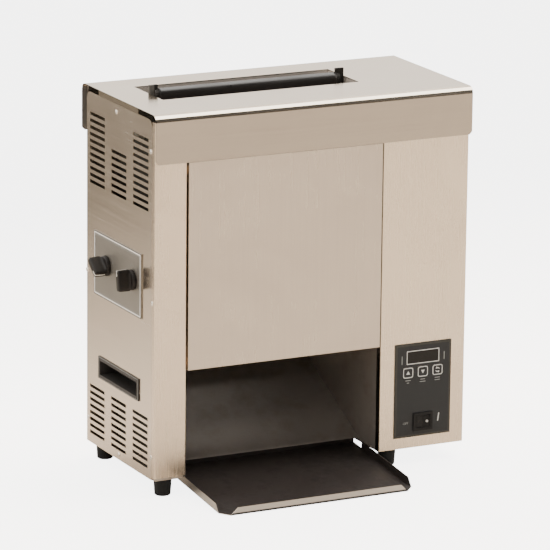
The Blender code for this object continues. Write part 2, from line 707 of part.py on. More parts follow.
def make_control_housing():
    """Front of the right bay, with the openings for the display, the keys and the switch."""
    path = (
        (OUTLET_RIGHT, BODY_FRONT + COLUMN_RETURN_DEPTH),
        (OUTLET_RIGHT, BODY_FRONT),
        (BODY_WIDTH, BODY_FRONT),
        (BODY_WIDTH, SEAM_Y),
    )
    outline = folded_sheet(path, SHEET, COLUMN_BEND_RADIUS)
    through = (BODY_FRONT - OVERRUN, BODY_FRONT + SHEET + OVERRUN)
    display = box(
        grown(centred(DISPLAY_CENTRE_X, DISPLAY_WIDTH), -WINDOW_RIM),
        through,
        grown((DISPLAY_BOTTOM, DISPLAY_BOTTOM + DISPLAY_HEIGHT), -WINDOW_RIM),
    )
    stems = joined(
        rod("y", (x, KEY_CENTRE_Z), KEY_STEM_RADIUS + RUN_CLEARANCE, *through, SMALL_SIDES)
        for x in key_centres()
    )
    switch = box(*switch_body_ranges(SEAT_GAP, through))
    piece(
        "control_housing_front",
        STAINLESS,
        prism("z", outline, 0, COLUMN_TOP),
        cut=[display, stems, switch],
    )


def key_centres():
    """Middle of each key along X."""
    return [BAY_CENTRE_X + KEY_OFFSET + place * KEY_PITCH for place in (-1, 0, 1)]


def switch_body_ranges(margin, y_range):
    """Ranges of the rocker switch's body, or of its cut-out with a margin."""
    shrink = margin - SWITCH_BEZEL_RIM
    return (
        grown(centred(SWITCH_CENTRE_X, SWITCH_WIDTH), shrink),
        y_range,
        grown(centred(SWITCH_CENTRE_Z, SWITCH_HEIGHT), shrink),
    )


def make_bulkheads():
    """Walls on either side of the toasting chamber, with the holes for what passes through them."""
    reach = (INNER_FRONT, INNER_REAR - SHEET - SEAT_GAP)
    height = (FLOOR_TOP, COLUMN_TOP)
    bearing = BEARING_SLEEVE_RADIUS + SEAT_GAP
    left = grown(LEFT_BULKHEAD_X, OVERRUN)
    right = grown(RIGHT_BULKHEAD_X, OVERRUN)
    tilt_room = CONVEYOR_TILT * (KNOB_Z - DRIVE_SHAFT_Z) + FOLLOWER_RADIUS + RUN_CLEARANCE
    windows = [
        box(left, centred(y, 2 * tilt_room), centred(KNOB_Z, 2 * (FOLLOWER_RADIUS + RUN_CLEARANCE)))
        for y in (FRONT_KNOB_Y - FOLLOWER_OFFSET, REAR_KNOB_Y + FOLLOWER_OFFSET)
    ]
    for name, x_range, through in (
        ("left_bulkhead", LEFT_BULKHEAD_X, left),
        ("right_bulkhead", RIGHT_BULKHEAD_X, right),
    ):
        holes = [
            rod("x", (y, DRIVE_SHAFT_Z), bearing, *through) for y in (FRONT_CONVEYOR_Y, REAR_CONVEYOR_Y)
        ]
        studs = []
        cuts = [joined(holes)]
        if name == "left_bulkhead":
            cuts += [joined(windows), knob_holes(KNOB_SHAFT_RADIUS + SEAT_GAP, *left)]
        else:
            cuts.append(heater_holes(HEATER_RADIUS + RUN_CLEARANCE, *right))
            studs.append(
                rod(
                    "x",
                    (CHAIN_IDLER_Y, CHAIN_IDLER_Z),
                    CHAIN_IDLER_STUD_RADIUS,
                    RIGHT_BULKHEAD_X[1] - THICK_SHEET / 2,
                    CHAIN_PLANE_X + SPROCKET_WIDTH,
                )
            )
        piece(name, PLATED_STEEL, box(x_range, reach, height), cut=cuts, add_last=studs)


def heater_holes(radius, start, end):
    """Cutters for the two heaters that lie across the platen."""
    height = PLATEN_TOP - PLATEN_BOTTOM
    return joined(
        rod("x", (SLOT_CENTRE_Y, PLATEN_BOTTOM + share * height), radius, start, end, SMALL_SIDES)
        for share in HEATER_PLACE_SHARES
    )


def make_front_rail():
    """Cross rail behind the front apron, which joins the columns and carries the cover."""
    path = (
        (INNER_FRONT + RAIL_FLANGE_DEPTH, COLUMN_TOP),
        (INNER_FRONT, COLUMN_TOP),
        (INNER_FRONT, COLUMN_TOP - RAIL_HEIGHT),
    )
    outline = folded_sheet(path, SHEET, COLUMN_BEND_RADIUS)
    span = (COLUMN_WIDTH + SEAT_GAP, OUTLET_RIGHT - SEAT_GAP)
    piece("front_cross_rail", PLATED_STEEL, prism("x", outline, *span))


def make_top_cover():
    """Cover with front and rear aprons, the feed slot and the flanges round it."""
    apron_bottom = BODY_HEIGHT - APRON_HEIGHT
    path = (
        (COVER_DEPTH, apron_bottom),
        (COVER_DEPTH, BODY_HEIGHT),
        (0, BODY_HEIGHT),
        (0, apron_bottom),
    )
    outline = folded_sheet(path, SHEET, COVER_BEND_RADIUS)
    low = BODY_HEIGHT - SLOT_FLANGE_DROP
    high = BODY_HEIGHT - SHEET / 2
    slot_x = (SLOT_LEFT, SLOT_RIGHT)
    slot_y = (SLOT_FRONT, SLOT_REAR)
    collar = box(grown(slot_x, SHEET), grown(slot_y, SHEET), (low, high))
    flange_y = (END_FLANGE_RELIEF, COVER_DEPTH - END_FLANGE_RELIEF)
    flange_z = (BODY_HEIGHT - END_FLANGE_DROP, high)
    ends = [
        box((0, SHEET), flange_y, flange_z),
        box((COVER_WIDTH - SHEET, COVER_WIDTH), flange_y, flange_z),
    ]
    opening = box(slot_x, slot_y, (low - OVERRUN, BODY_HEIGHT + OVERRUN))
    clipped = []
    for x in (0, COVER_WIDTH):
        diamond = circle((x, apron_bottom), APRON_CHAMFER, 4)
        clipped.append(prism("y", diamond, *grown((0, COVER_DEPTH), OVERRUN)))
    piece(
        "top_cover",
        STAINLESS,
        prism("x", outline, 0, COVER_WIDTH),
        [collar, *ends],
        [opening, joined(clipped)],
        origin=(COVER_WIDTH / 2, COVER_DEPTH / 2, BODY_HEIGHT),
    )


def make_front_panel():
    """Removable front panel: a shallow pan, open to the rear, with four locating clips."""
    x_range = (COLUMN_WIDTH + PANEL_SIDE_GAP, OUTLET_RIGHT - PANEL_SIDE_GAP)
    z_range = (OUTLET_HEIGHT, BODY_HEIGHT - APRON_HEIGHT - PANEL_TOP_GAP)
    y_range = (PANEL_FACE_SETBACK, PANEL_FACE_SETBACK + PANEL_FLANGE_DEPTH)
    hollow = box(
        grown(x_range, -SHEET),
        (PANEL_FACE_SETBACK + SHEET, y_range[1] + OVERRUN),
        grown(z_range, -SHEET),
    )
    clips = []
    reach = PANEL_SIDE_GAP - SEAT_GAP
    for place in (z_range[0] + PANEL_CLIP_HEIGHT, z_range[1] - PANEL_CLIP_HEIGHT):
        upright = centred(place, PANEL_CLIP_HEIGHT)
        along = (y_range[1] - PANEL_CLIP_DEPTH, y_range[1])
        clips.append(box((x_range[0] - reach, x_range[0] + SHEET / 2), along, upright))
        clips.append(box((x_range[1] - SHEET / 2, x_range[1] + reach), along, upright))
    origin = (sum(x_range) / 2, PANEL_FACE_SETBACK, sum(z_range) / 2)
    piece("front_panel", STAINLESS, box(x_range, y_range, z_range), clips, [hollow], origin)


def make_hand_holds():
    """Black cup let into each side panel, open outwards."""
    along = centred(HOLD_CENTRE_Y, HOLD_LENGTH)
    upright = centred(HOLD_CENTRE_Z, HOLD_HEIGHT)
    for name, face, inwards in (("left_hand_hold", 0, 1), ("right_hand_hold", BODY_WIDTH, -1)):
        rim_inner = face - inwards * SEAT_GAP
        rim_outer = rim_inner - inwards * THICK_SHEET
        rim = box(sorted((rim_inner, rim_outer)), along, upright)
        tub = box(
            sorted((rim_inner - inwards * THICK_SHEET / 2, face + inwards * HOLD_DEPTH)),
            grown(along, -HOLD_RIM),
            grown(upright, -HOLD_RIM),
        )
        hollow = box(
            sorted((rim_outer - inwards * OVERRUN, face + inwards * (HOLD_DEPTH - HOLD_WALL))),
            grown(along, -HOLD_RIM - HOLD_WALL),
            grown(upright, -HOLD_RIM - HOLD_WALL),
        )
        piece(name, BLACK_PLASTIC, rim, [tub], [hollow])


def make_adjustment_plate():
    """Plate on the left side panel that carries the two adjustment knobs."""
    plate = box(
        (PLATE_OUTER_X, -SEAT_GAP),
        centred(PLATE_CENTRE_Y, PLATE_LENGTH),
        centred(PLATE_CENTRE_Z, PLATE_HEIGHT),
    )
    holes = knob_holes(KNOB_SHAFT_RADIUS + SEAT_GAP, PLATE_OUTER_X - OVERRUN, OVERRUN)
    piece("adjustment_plate", PLATED_STEEL, plate, cut=[holes])


def make_knobs():
    """Bar knobs for the gap on each side of the platen."""
    for name, y, angle in (
        ("front_adjustment_knob", FRONT_KNOB_Y, KNOB_REST_ANGLE),
        ("rear_adjustment_knob", REAR_KNOB_Y, REAR_KNOB_REST_ANGLE),
    ):
        base = KNOB_BASE_X
        outer = base - KNOB_DEPTH
        skirt = rod("x", (y, KNOB_Z), KNOB_SKIRT_RADIUS, base - KNOB_SKIRT_DEPTH, base)
        bevel = KNOB_GRIP_BEVEL
        length = KNOB_GRIP_LENGTH / 2
        profile = (
            (-length, base - KNOB_SKIRT_DEPTH / 2),
            (-length, outer + bevel),
            (-length + bevel, outer),
            (length - bevel, outer),
            (length, outer + bevel),
            (length, base - KNOB_SKIRT_DEPTH / 2),
        )
        flat = [(x, along) for along, x in profile]
        grip = prism("y", flat, *centred(0, KNOB_GRIP_THICKNESS))
        turn = Matrix.Translation((0, y, KNOB_Z)) @ Matrix.Rotation(angle, 4, "X")
        socket = rod(
            "x",
            (y, KNOB_Z),
            KNOB_SHAFT_RADIUS + SEAT_GAP,
            base - KNOB_SOCKET_DEPTH,
            base + OVERRUN,
            SMALL_SIDES,
        )
        piece(name, BLACK_PLASTIC, skirt, [moved(grip, turn)], [socket], (base, y, KNOB_Z))


def spiral_cam(centre, facing):
    """Outline whose radius grows evenly with the turn, so that the follower stays at its face."""
    rate = CONVEYOR_TILT * (KNOB_Z - DRIVE_SHAFT_Z) / KNOB_TRAVEL
    points = []
    for i in range(CAM_STEPS):
        turn = -math.pi + 2 * math.pi * i / CAM_STEPS
        radius = CAM_RADIUS - rate * max(-KNOB_TRAVEL, min(KNOB_TRAVEL, turn))
        angle = facing + turn
        points.append((centre[0] + radius * math.cos(angle), centre[1] + radius * math.sin(angle)))
    return points


def make_cams():
    """Shaft of each adjustment knob, with the snail cam that moves its conveyor."""
    inner = LEFT_BULKHEAD_FACE
    for name, y, facing in (
        ("front_adjustment_cam", FRONT_KNOB_Y, math.pi),
        ("rear_adjustment_cam", REAR_KNOB_Y, 0),
    ):
        outer = KNOB_BASE_X - KNOB_SOCKET_DEPTH + SEAT_GAP
        shaft = rod("x", (y, KNOB_Z), KNOB_SHAFT_RADIUS, outer, inner, SMALL_SIDES)
        cam = prism("x", spiral_cam((y, KNOB_Z), facing), CAM_INSET, CAM_INSET + CAM_THICKNESS)
        piece(name, PLATED_STEEL, shaft, [cam], origin=(CAM_INSET, y, KNOB_Z))


def make_platen():
    """Upright heated plate with a round top, the ears that carry it and a stop at each end."""
    radius = PLATEN_THICKNESS / 2
    y = SLOT_CENTRE_Y
    outline = [(y - radius, PLATEN_BOTTOM), (y + radius, PLATEN_BOTTOM)]
    outline += arc((y, PLATEN_TOP - radius), radius, 0, math.pi, 2 * BEND_STEPS)
    height = PLATEN_TOP - PLATEN_BOTTOM
    arms = []
    for share in EAR_PLACE_SHARES:
        upright = centred(PLATEN_BOTTOM + share * height, EAR_HEIGHT)
        across = centred(y, EAR_THICKNESS)
        arms.append(box((LEFT_BULKHEAD_FACE + SEAT_GAP, PLATEN_LEFT + OVERRUN), across, upright))
        arms.append(box((PLATEN_RIGHT - OVERRUN, RIGHT_BULKHEAD_FACE - SEAT_GAP), across, upright))
    stop_height = (PLATEN_TOP - PLATEN_THICKNESS, BODY_HEIGHT + END_STOP_RISE)
    stop_reach = RELEASE_SHEET_MARGIN - RUN_CLEARANCE
    for stop_x in (
        (SLOT_LEFT + RUN_CLEARANCE, PLATEN_LEFT + stop_reach),
        (PLATEN_RIGHT - stop_reach, SLOT_RIGHT - RUN_CLEARANCE),
    ):
        arms.append(box(stop_x, centred(y, END_STOP_THICKNESS), stop_height))
    bores = heater_holes(HEATER_RADIUS + SEAT_GAP, PLATEN_LEFT - OVERRUN, PLATEN_RIGHT + OVERRUN)
    piece("platen", CAST_ALUMINIUM, prism("x", outline, PLATEN_LEFT, PLATEN_RIGHT), arms, [bores])


def make_heaters():
    """Rod heaters inside the platen, whose right ends pass into the right bay."""
    height = PLATEN_TOP - PLATEN_BOTTOM
    for name, share in zip(("lower_heater", "upper_heater"), HEATER_PLACE_SHARES):
        centre = (SLOT_CENTRE_Y, PLATEN_BOTTOM + share * height)
        end = RIGHT_BULKHEAD_X[1] + HEATER_TAIL
        shape = rod("x", centre, HEATER_RADIUS, PLATEN_LEFT, end, SMALL_SIDES)
        piece(name, DARK_STEEL, shape, smooth=True)


def make_release_sheet():
    """Release sheet that hangs over the platen on both faces."""
    y = SLOT_CENTRE_Y
    top = PLATEN_TOP - PLATEN_THICKNESS / 2
    inner = PLATEN_THICKNESS / 2 + SEAT_GAP
    outer = inner + RELEASE_SHEET_THICKNESS
    outline = [(y + outer, RELEASE_SHEET_BOTTOM)]
    outline += arc((y, top), outer, 0, math.pi, 2 * BEND_STEPS)
    outline += [(y - outer, RELEASE_SHEET_BOTTOM), (y - inner, RELEASE_SHEET_BOTTOM)]
    outline += arc((y, top), inner, math.pi, 0, 2 * BEND_STEPS)
    outline += [(y + inner, RELEASE_SHEET_BOTTOM)]
    shape = prism("x", outline, *grown((PLATEN_LEFT, PLATEN_RIGHT), -RELEASE_SHEET_MARGIN))
    piece("release_sheet", RELEASE_BLACK, shape)


def conveyor_places():
    """Name, place along Y and side of the follower for each conveyor."""
    return (("front", FRONT_CONVEYOR_Y, -1), ("rear", REAR_CONVEYOR_Y, 1))


def make_conveyor_frames():
    """Tilting frame of each conveyor: two side bars, two cross bars and the cam follower."""
    height = (DRIVE_SHAFT_Z - BAR_END_OVERHANG, IDLER_SHAFT_Z + BAR_END_OVERHANG)
    knobs = {"front": FRONT_KNOB_Y, "rear": REAR_KNOB_Y}
    for name, y, side in conveyor_places():
        across = centred(y, BAR_WIDTH)
        follower_y = knobs[name] + side * FOLLOWER_OFFSET
        lug_ends = sorted((y, follower_y - math.copysign(FOLLOWER_RADIUS, y - follower_y)))
        follower_x = (CAM_INSET, LEFT_BAR_X[1] - SHEET)
        add = [
            box(LEFT_BAR_X, lug_ends, centred(KNOB_Z, FOLLOWER_LUG_HEIGHT)),
            rod("x", (follower_y, KNOB_Z), FOLLOWER_RADIUS, *follower_x, SMALL_SIDES),
            box(RIGHT_BAR_X, across, height),
        ]
        for share in CROSS_BAR_PLACE_SHARES:
            middle = DRIVE_SHAFT_Z + share * (IDLER_SHAFT_Z - DRIVE_SHAFT_Z)
            span = (LEFT_BAR_X[1] - SHEET, RIGHT_BAR_X[0] + SHEET)
            add.append(box(span, centred(y, CROSS_BAR_DEPTH), centred(middle, CROSS_BAR_HEIGHT)))
        through = (LEFT_BAR_X[0] - OVERRUN, RIGHT_BAR_X[1] + OVERRUN)
        bores = joined(
            rod("x", (y, z), radius + RUN_CLEARANCE, *through)
            for z, radius in ((DRIVE_SHAFT_Z, SHAFT_RADIUS), (IDLER_SHAFT_Z, JOURNAL_RADIUS))
        )
        bar = box(LEFT_BAR_X, across, height)
        pivot = (SLOT_CENTRE_X, y, DRIVE_SHAFT_Z)
        piece(f"{name}_conveyor_frame", PLATED_STEEL, bar, add, [bores], pivot)


def stadium(y, radius):
    """Outline round both shafts of a conveyor."""
    steps = ROUND_SIDES // 2
    upper = arc((y, IDLER_SHAFT_Z), radius, 0, math.pi, steps)
    lower = arc((y, DRIVE_SHAFT_Z), radius, math.pi, 2 * math.pi, steps)
    return upper + lower


def roller_span():
    """Ends of the rollers along X, between the side bars."""
    return LEFT_BAR_X[1] + ROLLER_END_GAP, RIGHT_BAR_X[0] - ROLLER_END_GAP


def make_belts():
    """Belt loop round the two rollers of each conveyor."""
    for name, y, _ in conveyor_places():
        outer = stadium(y, BELT_RADIUS)
        inner = stadium(y, ROLLER_RADIUS + RUN_CLEARANCE)
        shape = band("x", outer, inner, *grown(roller_span(), -BELT_END_GAP))
        pivot = (SLOT_CENTRE_X, y, DRIVE_SHAFT_Z)
        piece(f"{name}_conveyor_belt", BELT_GREY, shape, origin=pivot, smooth=True)


def make_shafts_and_rollers():
    """Lower drive shaft and upper idler roller of each conveyor."""
    first, last = roller_span()
    shaft_end = CHAIN_PLANE_X + SPROCKET_WIDTH / 2 + SPROCKET_HUB_DEPTH + SHEET
    kinds = (
        ("drive_shaft", DRIVE_SHAFT_Z, SHAFT_RADIUS, LEFT_BULKHEAD_X[0] - SHAFT_LEFT_TAIL, shaft_end),
        ("idler_roller", IDLER_SHAFT_Z, JOURNAL_RADIUS, LEFT_BAR_X[0] - SHEET, RIGHT_BAR_X[1] + SHEET),
    )
    for name, y, _ in conveyor_places():
        for kind, z, radius, start, end in kinds:
            profile = (
                (0, start),
                (radius, start),
                (radius, first),
                (ROLLER_RADIUS, first),
                (ROLLER_RADIUS, last),
                (radius, last),
                (radius, end),
                (0, end),
            )
            shape = turned("x", (y, z), profile)
            piece(f"{name}_{kind}", PLATED_STEEL, shape, origin=(SLOT_CENTRE_X, y, z), smooth=True)


def make_bearings():
    """Flanged bearing of each drive shaft in each bulkhead."""
    sides = (("left", LEFT_BULKHEAD_X, -1), ("right", RIGHT_BULKHEAD_X[::-1], 1))
    for name, y, _ in conveyor_places():
        for side, (bay_face, chamber_face), outwards in sides:
            seat = bay_face + outwards * SEAT_GAP
            bore = SHAFT_RADIUS + RUN_CLEARANCE
            end = chamber_face - outwards * BEARING_REACH
            profile = (
                (bore, seat + outwards * BEARING_FLANGE_DEPTH),
                (BEARING_FLANGE_RADIUS, seat + outwards * BEARING_FLANGE_DEPTH),
                (BEARING_FLANGE_RADIUS, seat),
                (BEARING_SLEEVE_RADIUS, seat),
                (BEARING_SLEEVE_RADIUS, end),
                (bore, end),
            )
            shape = turned("x", (y, DRIVE_SHAFT_Z), profile)
            piece(f"{name}_{side}_bearing", BRONZE, shape, smooth=True)


def toothed(centre, pitch_radius, teeth):
    """Outline of a sprocket that stays clear of the chain band round it."""
    tip = pitch_radius - CHAIN_THICKNESS / 2 - RUN_CLEARANCE
    root = tip - SPROCKET_TOOTH_DEPTH
    points = []
    for i in range(4 * teeth):
        radius = tip if i % 4 in (0, 1) else root
        angle = 2 * math.pi * (i + 0.5) / (4 * teeth)
        points.append((centre[0] + radius * math.cos(angle), centre[1] + radius * math.sin(angle)))
    return points


def make_sprockets():
    """Sprockets of the two drive shafts, and the idler that turns on its stud."""
    x_range = centred(CHAIN_PLANE_X, SPROCKET_WIDTH)
    hub_end = x_range[1] + SPROCKET_HUB_DEPTH
    for name, y, _ in conveyor_places():
        centre = (y, DRIVE_SHAFT_Z)
        disc = prism("x", toothed(centre, DRIVEN_PITCH_RADIUS, DRIVEN_SPROCKET_TEETH), *x_range)
        hub = rod("x", centre, SHAFT_RADIUS + SPROCKET_HUB_WALL, x_range[1] - SHEET, hub_end)
        bore = rod("x", centre, SHAFT_RADIUS + SEAT_GAP, x_range[0] - OVERRUN, hub_end + OVERRUN)
        origin = (CHAIN_PLANE_X, *centre)
        piece(f"{name}_drive_sprocket", DARK_STEEL, disc, [hub], [bore], origin)
    centre = (CHAIN_IDLER_Y, CHAIN_IDLER_Z)
    disc = prism("x", toothed(centre, IDLER_PITCH_RADIUS, SMALL_SPROCKET_TEETH), *x_range)
    bore = rod("x", centre, CHAIN_IDLER_STUD_RADIUS + RUN_CLEARANCE, *grown(x_range, OVERRUN))
    piece("chain_idler_sprocket", DARK_STEEL, disc, cut=[bore], origin=(CHAIN_PLANE_X, *centre))


def chain_route():
    """Centre line of the chain with its outward normals, tangent to every wheel in turn.

    A wheel with sign 1 lies inside the loop and one with sign -1 lies outside it, so that it turns
    the other way. Between wheels the chain runs straight.
    """
    normals = []
    count = len(CHAIN_WHEELS)
    for i, (y0, z0, r0, sign0) in enumerate(CHAIN_WHEELS):
        y1, z1, r1, sign1 = CHAIN_WHEELS[(i + 1) % count]
        distance = math.hypot(y1 - y0, z1 - z0)
        heading = math.atan2(z1 - z0, y1 - y0)
        normals.append(heading - math.acos((sign0 * r0 - sign1 * r1) / distance))
    route = []
    for i, (y, z, radius, sign) in enumerate(CHAIN_WHEELS):
        come = normals[i - 1]
        turn = (normals[i] - come) % (2 * math.pi)
        if sign < 0:
            turn -= 2 * math.pi
        steps = max(2, math.ceil(abs(turn) / ARC_STEP))
        for k in range(steps + 1):
            angle = come + turn * k / steps
            normal = Vector((math.cos(angle), math.sin(angle)))
            route.append((Vector((y, z)) + normal * sign * radius, normal))
    return route


def make_drive_chain():
    """Closed chain round the four sprockets, as a smooth band."""
    route = chain_route()
    half = CHAIN_THICKNESS / 2
    outer = [tuple(point + normal * half) for point, normal in route]
    inner = [tuple(point - normal * half) for point, normal in route]
    shape = band("x", outer, inner, *centred(CHAIN_PLANE_X, CHAIN_WIDTH))
    piece("drive_chain", DARK_STEEL, shape)


def make_motor_group():
    """Gearmotor, its bracket on the right bulkhead, its output shaft and its sprocket."""
    centre = (MOTOR_AXIS_Y, MOTOR_AXIS_Z)
    origin = (CHAIN_PLANE_X, *centre)
    x_range = centred(CHAIN_PLANE_X, SPROCKET_WIDTH)
    gearbox_start = BRACKET_PLANE_X + BRACKET_THICKNESS + SEAT_GAP
    shaft_range = (x_range[0] - SHEET, gearbox_start + MOTOR_SHAFT_DEPTH)
    disc = prism("x", toothed(centre, MOTOR_PITCH_RADIUS, SMALL_SPROCKET_TEETH), *x_range)
    bore = rod("x", centre, MOTOR_SHAFT_RADIUS + SEAT_GAP, *grown(x_range, OVERRUN), SMALL_SIDES)
    piece("motor_sprocket", DARK_STEEL, disc, cut=[bore], origin=origin)
    shaft = rod("x", centre, MOTOR_SHAFT_RADIUS, *shaft_range, SMALL_SIDES)
    piece("motor_output_shaft", PLATED_STEEL, shaft, origin=origin, smooth=True)

    across = centred(MOTOR_AXIS_Y, BRACKET_LENGTH)
    upright = centred(MOTOR_AXIS_Z, BRACKET_HEIGHT)
    leg_x = (RIGHT_BULKHEAD_X[1] + SEAT_GAP, BRACKET_PLANE_X + BRACKET_THICKNESS)
    legs = [
        box(leg_x, across, (upright[1] - BRACKET_THICKNESS, upright[1])),
        box(leg_x, (across[0], across[0] + BRACKET_THICKNESS), (MOTOR_AXIS_Z, upright[1])),
    ]
    plate = box((BRACKET_PLANE_X, BRACKET_PLANE_X + BRACKET_THICKNESS), across, upright)
    hole = rod("x", centre, MOTOR_SHAFT_RADIUS + OVERRUN, *grown(leg_x, OVERRUN))
    piece("motor_bracket", PLATED_STEEL, plate, legs, [hole])

    gearbox_end = gearbox_start + GEARBOX_DEPTH
    gearbox = box(
        (gearbox_start, gearbox_end),
        centred(MOTOR_AXIS_Y, GEARBOX_LENGTH),
        centred(MOTOR_AXIS_Z, GEARBOX_HEIGHT),
    )
    motor_end = INNER_RIGHT - MOTOR_END_CLEARANCE
    motor = rod("x", centre, MOTOR_RADIUS, gearbox_end - SHEET, motor_end)
    socket_end = shaft_range[1] + SEAT_GAP
    socket = rod("x", centre, MOTOR_SHAFT_RADIUS + RUN_CLEARANCE, gearbox_start - OVERRUN, socket_end)
    piece("gearmotor", DARK_STEEL, gearbox, [motor], [socket])


def make_discharge_chute():
    """Sloping floor under the toasting chamber, between two cheeks."""
    rise = math.tan(CHUTE_SLOPE)
    drop = SHEET / math.cos(CHUTE_SLOPE)
    rear_z = CHUTE_FRONT_Z + (INNER_REAR - CHUTE_FRONT_Y) * rise
    floor = (
        (CHUTE_FRONT_Y, CHUTE_FRONT_Z),
        (INNER_REAR, rear_z),
        (INNER_REAR, rear_z - drop),
        (CHUTE_FRONT_Y, CHUTE_FRONT_Z - drop),
    )
    front = BODY_FRONT + COLUMN_RETURN_DEPTH + SEAT_GAP
    top = OUTLET_HEIGHT - CHUTE_CHEEK_DROP
    cheek = (
        (front, FLOOR_TOP),
        (CHUTE_FRONT_Y, FLOOR_TOP),
        (INNER_REAR, FLOOR_TOP + rear_z - CHUTE_FRONT_Z),
        (INNER_REAR, top),
        (front, top),
    )
    left = COLUMN_WIDTH - SHEET
    right = OUTLET_RIGHT + SHEET
    cheeks = [prism("x", cheek, left, left + SHEET), prism("x", cheek, right - SHEET, right)]
    floor_shape = prism("x", floor, left + SHEET / 2, right - SHEET / 2)
    piece("discharge_chute", STAINLESS, floor_shape, cheeks)


def make_discharge_tray():
    """Removable tray: sloping floor, side flanges, front lip and the hook at its rear."""
    x_range = (COLUMN_WIDTH + TRAY_SIDE_CLEARANCE, OUTLET_RIGHT - TRAY_SIDE_CLEARANCE)
    hook_front = PAN_HOOK_EDGE - SEAT_GAP - SHEET
    length = (TRAY_REACH + hook_front + SHEET) / math.cos(TRAY_SLOPE)
    corner = TRAY_CORNER
    floor = (
        (x_range[0], corner),
        (x_range[0] + corner, 0),
        (x_range[1] - corner, 0),
        (x_range[1], corner),
        (x_range[1], length),
        (x_range[0], length),
    )
    flange_rear = (TRAY_REACH + TRAY_FLANGE_REACH) / math.cos(TRAY_SLOPE)
    side = ((corner, 0), (flange_rear, 0), (flange_rear, TRAY_LIP), (corner + TRAY_LIP, TRAY_LIP))
    lip_range = (x_range[0] + corner, x_range[1] - corner)
    lip = (
        (lip_range[0], 0),
        (lip_range[1], 0),
        (lip_range[1] - TRAY_LIP, TRAY_LIP),
        (lip_range[0] + TRAY_LIP, TRAY_LIP),
    )
    tilt = Matrix.Translation((0, -TRAY_REACH, TRAY_FLOOR_CLEARANCE - FOOT_HEIGHT))
    tilt = tilt @ Matrix.Rotation(TRAY_SLOPE, 4, "X")
    shapes = [
        prism("z", floor, 0, SHEET),
        prism("x", side, x_range[0], x_range[0] + SHEET),
        prism("x", side, x_range[1] - SHEET, x_range[1]),
        prism("y", lip, 0, SHEET),
    ]
    floor_shape, *upstands = [moved(shape, tilt) for shape in shapes]
    floor_end = TRAY_FLOOR_CLEARANCE - FOOT_HEIGHT + length * math.sin(TRAY_SLOPE)
    hook = (
        (hook_front, floor_end),
        (hook_front + SHEET, floor_end),
        (hook_front + SHEET, FLOOR_TOP),
        (hook_front + TRAY_HOOK_DEPTH, FLOOR_TOP),
        (hook_front + TRAY_HOOK_DEPTH, FLOOR_TOP + SHEET),
        (hook_front, FLOOR_TOP + SHEET),
    )
    upstands.append(prism("x", hook, *x_range))
    origin = (sum(x_range) / 2, 0, -FOOT_HEIGHT)
    piece("discharge_tray", COATED_BROWN, floor_shape, upstands, origin=origin)


def make_overlay_and_display():
    """Control overlay with its windows, and the display's lens."""
    y_range = (OVERLAY_FACE_Y, OVERLAY_BACK_Y)
    through = grown(y_range, OVERRUN)
    display_x = centred(DISPLAY_CENTRE_X, DISPLAY_WIDTH)
    display_z = (DISPLAY_BOTTOM, DISPLAY_BOTTOM + DISPLAY_HEIGHT)
    key_z = grown(centred(KEY_CENTRE_Z, KEY_HEIGHT), SEAT_GAP)
    windows = [box(grown(centred(x, KEY_WIDTH), SEAT_GAP), through, key_z) for x in key_centres()]
    windows.append(box(grown(display_x, SEAT_GAP), through, grown(display_z, SEAT_GAP)))
    windows.append(box(*switch_body_ranges(SEAT_GAP, through)))
    face = box(
        centred(OVERLAY_CENTRE_X, OVERLAY_WIDTH),
        y_range,
        (OVERLAY_BOTTOM, OVERLAY_BOTTOM + OVERLAY_HEIGHT),
    )
    piece("control_overlay", OVERLAY_GREY, face, cut=[joined(windows)])
    lens = box(display_x, (OVERLAY_FACE_Y - DISPLAY_PROUD, OVERLAY_BACK_Y), display_z)
    piece("display_lens", SMOKED_LENS, lens)


def make_keys():
    """Three keys, each with the stem that reaches its switch on the board."""
    face = OVERLAY_FACE_Y - KEY_PROUD
    cap_y = (face, face + KEY_THICKNESS)
    stem_y = (face + KEY_THICKNESS / 2, BOARD_Y - BOARD_SWITCH_HALF - KEY_TRAVEL - SEAT_GAP)
    for name, x in zip(("raise_key", "lower_key", "mode_key"), key_centres()):
        cap = box(centred(x, KEY_WIDTH), cap_y, centred(KEY_CENTRE_Z, KEY_HEIGHT))
        stem = rod("y", (x, KEY_CENTRE_Z), KEY_STEM_RADIUS, *stem_y, SMALL_SIDES)
        piece(name, OVERLAY_GREY, cap, [stem], origin=(x, face, KEY_CENTRE_Z))


def make_switch():
    """Rocker switch: the bezel with its body, and the paddle that rocks in it."""
    seat = OVERLAY_FACE_Y - SEAT_GAP
    face = seat - SWITCH_BEZEL_PROUD
    rim = box(
        centred(SWITCH_CENTRE_X, SWITCH_WIDTH), (face, seat), centred(SWITCH_CENTRE_Z, SWITCH_HEIGHT)
    )
    body = box(*switch_body_ranges(0, (seat - SHEET / 2, seat + SWITCH_BODY_DEPTH)))
    width, _, height = switch_body_ranges(-SHEET, (0, 0))
    axis_y = face + PADDLE_AXIS_DEPTH
    hollow = box(width, (face - OVERRUN, axis_y + PADDLE_BACK + OVERRUN), height)
    piece("switch_bezel", BLACK_PLASTIC, rim, [body], [hollow])

    radius = (width[1] - width[0]) / 2 - RUN_CLEARANCE
    edge = math.asin(PADDLE_EDGE_LIFT / radius)
    back = math.asin(PADDLE_BACK / radius)
    outline = [(0, -PADDLE_VALLEY)]
    outline += arc((0, 0), radius, -edge, back)
    outline += arc((0, 0), radius, math.pi - back, math.pi + edge)
    place = Matrix.Translation((SWITCH_CENTRE_X, axis_y, 0))
    paddle = prism("z", outline, *grown(height, -PADDLE_HEIGHT_CLEARANCE))
    moved(paddle, place @ Matrix.Rotation(-PADDLE_REST_ANGLE, 4, "Z"))
    piece("switch_paddle", BLACK_PLASTIC, paddle, origin=(SWITCH_CENTRE_X, axis_y, SWITCH_CENTRE_Z))


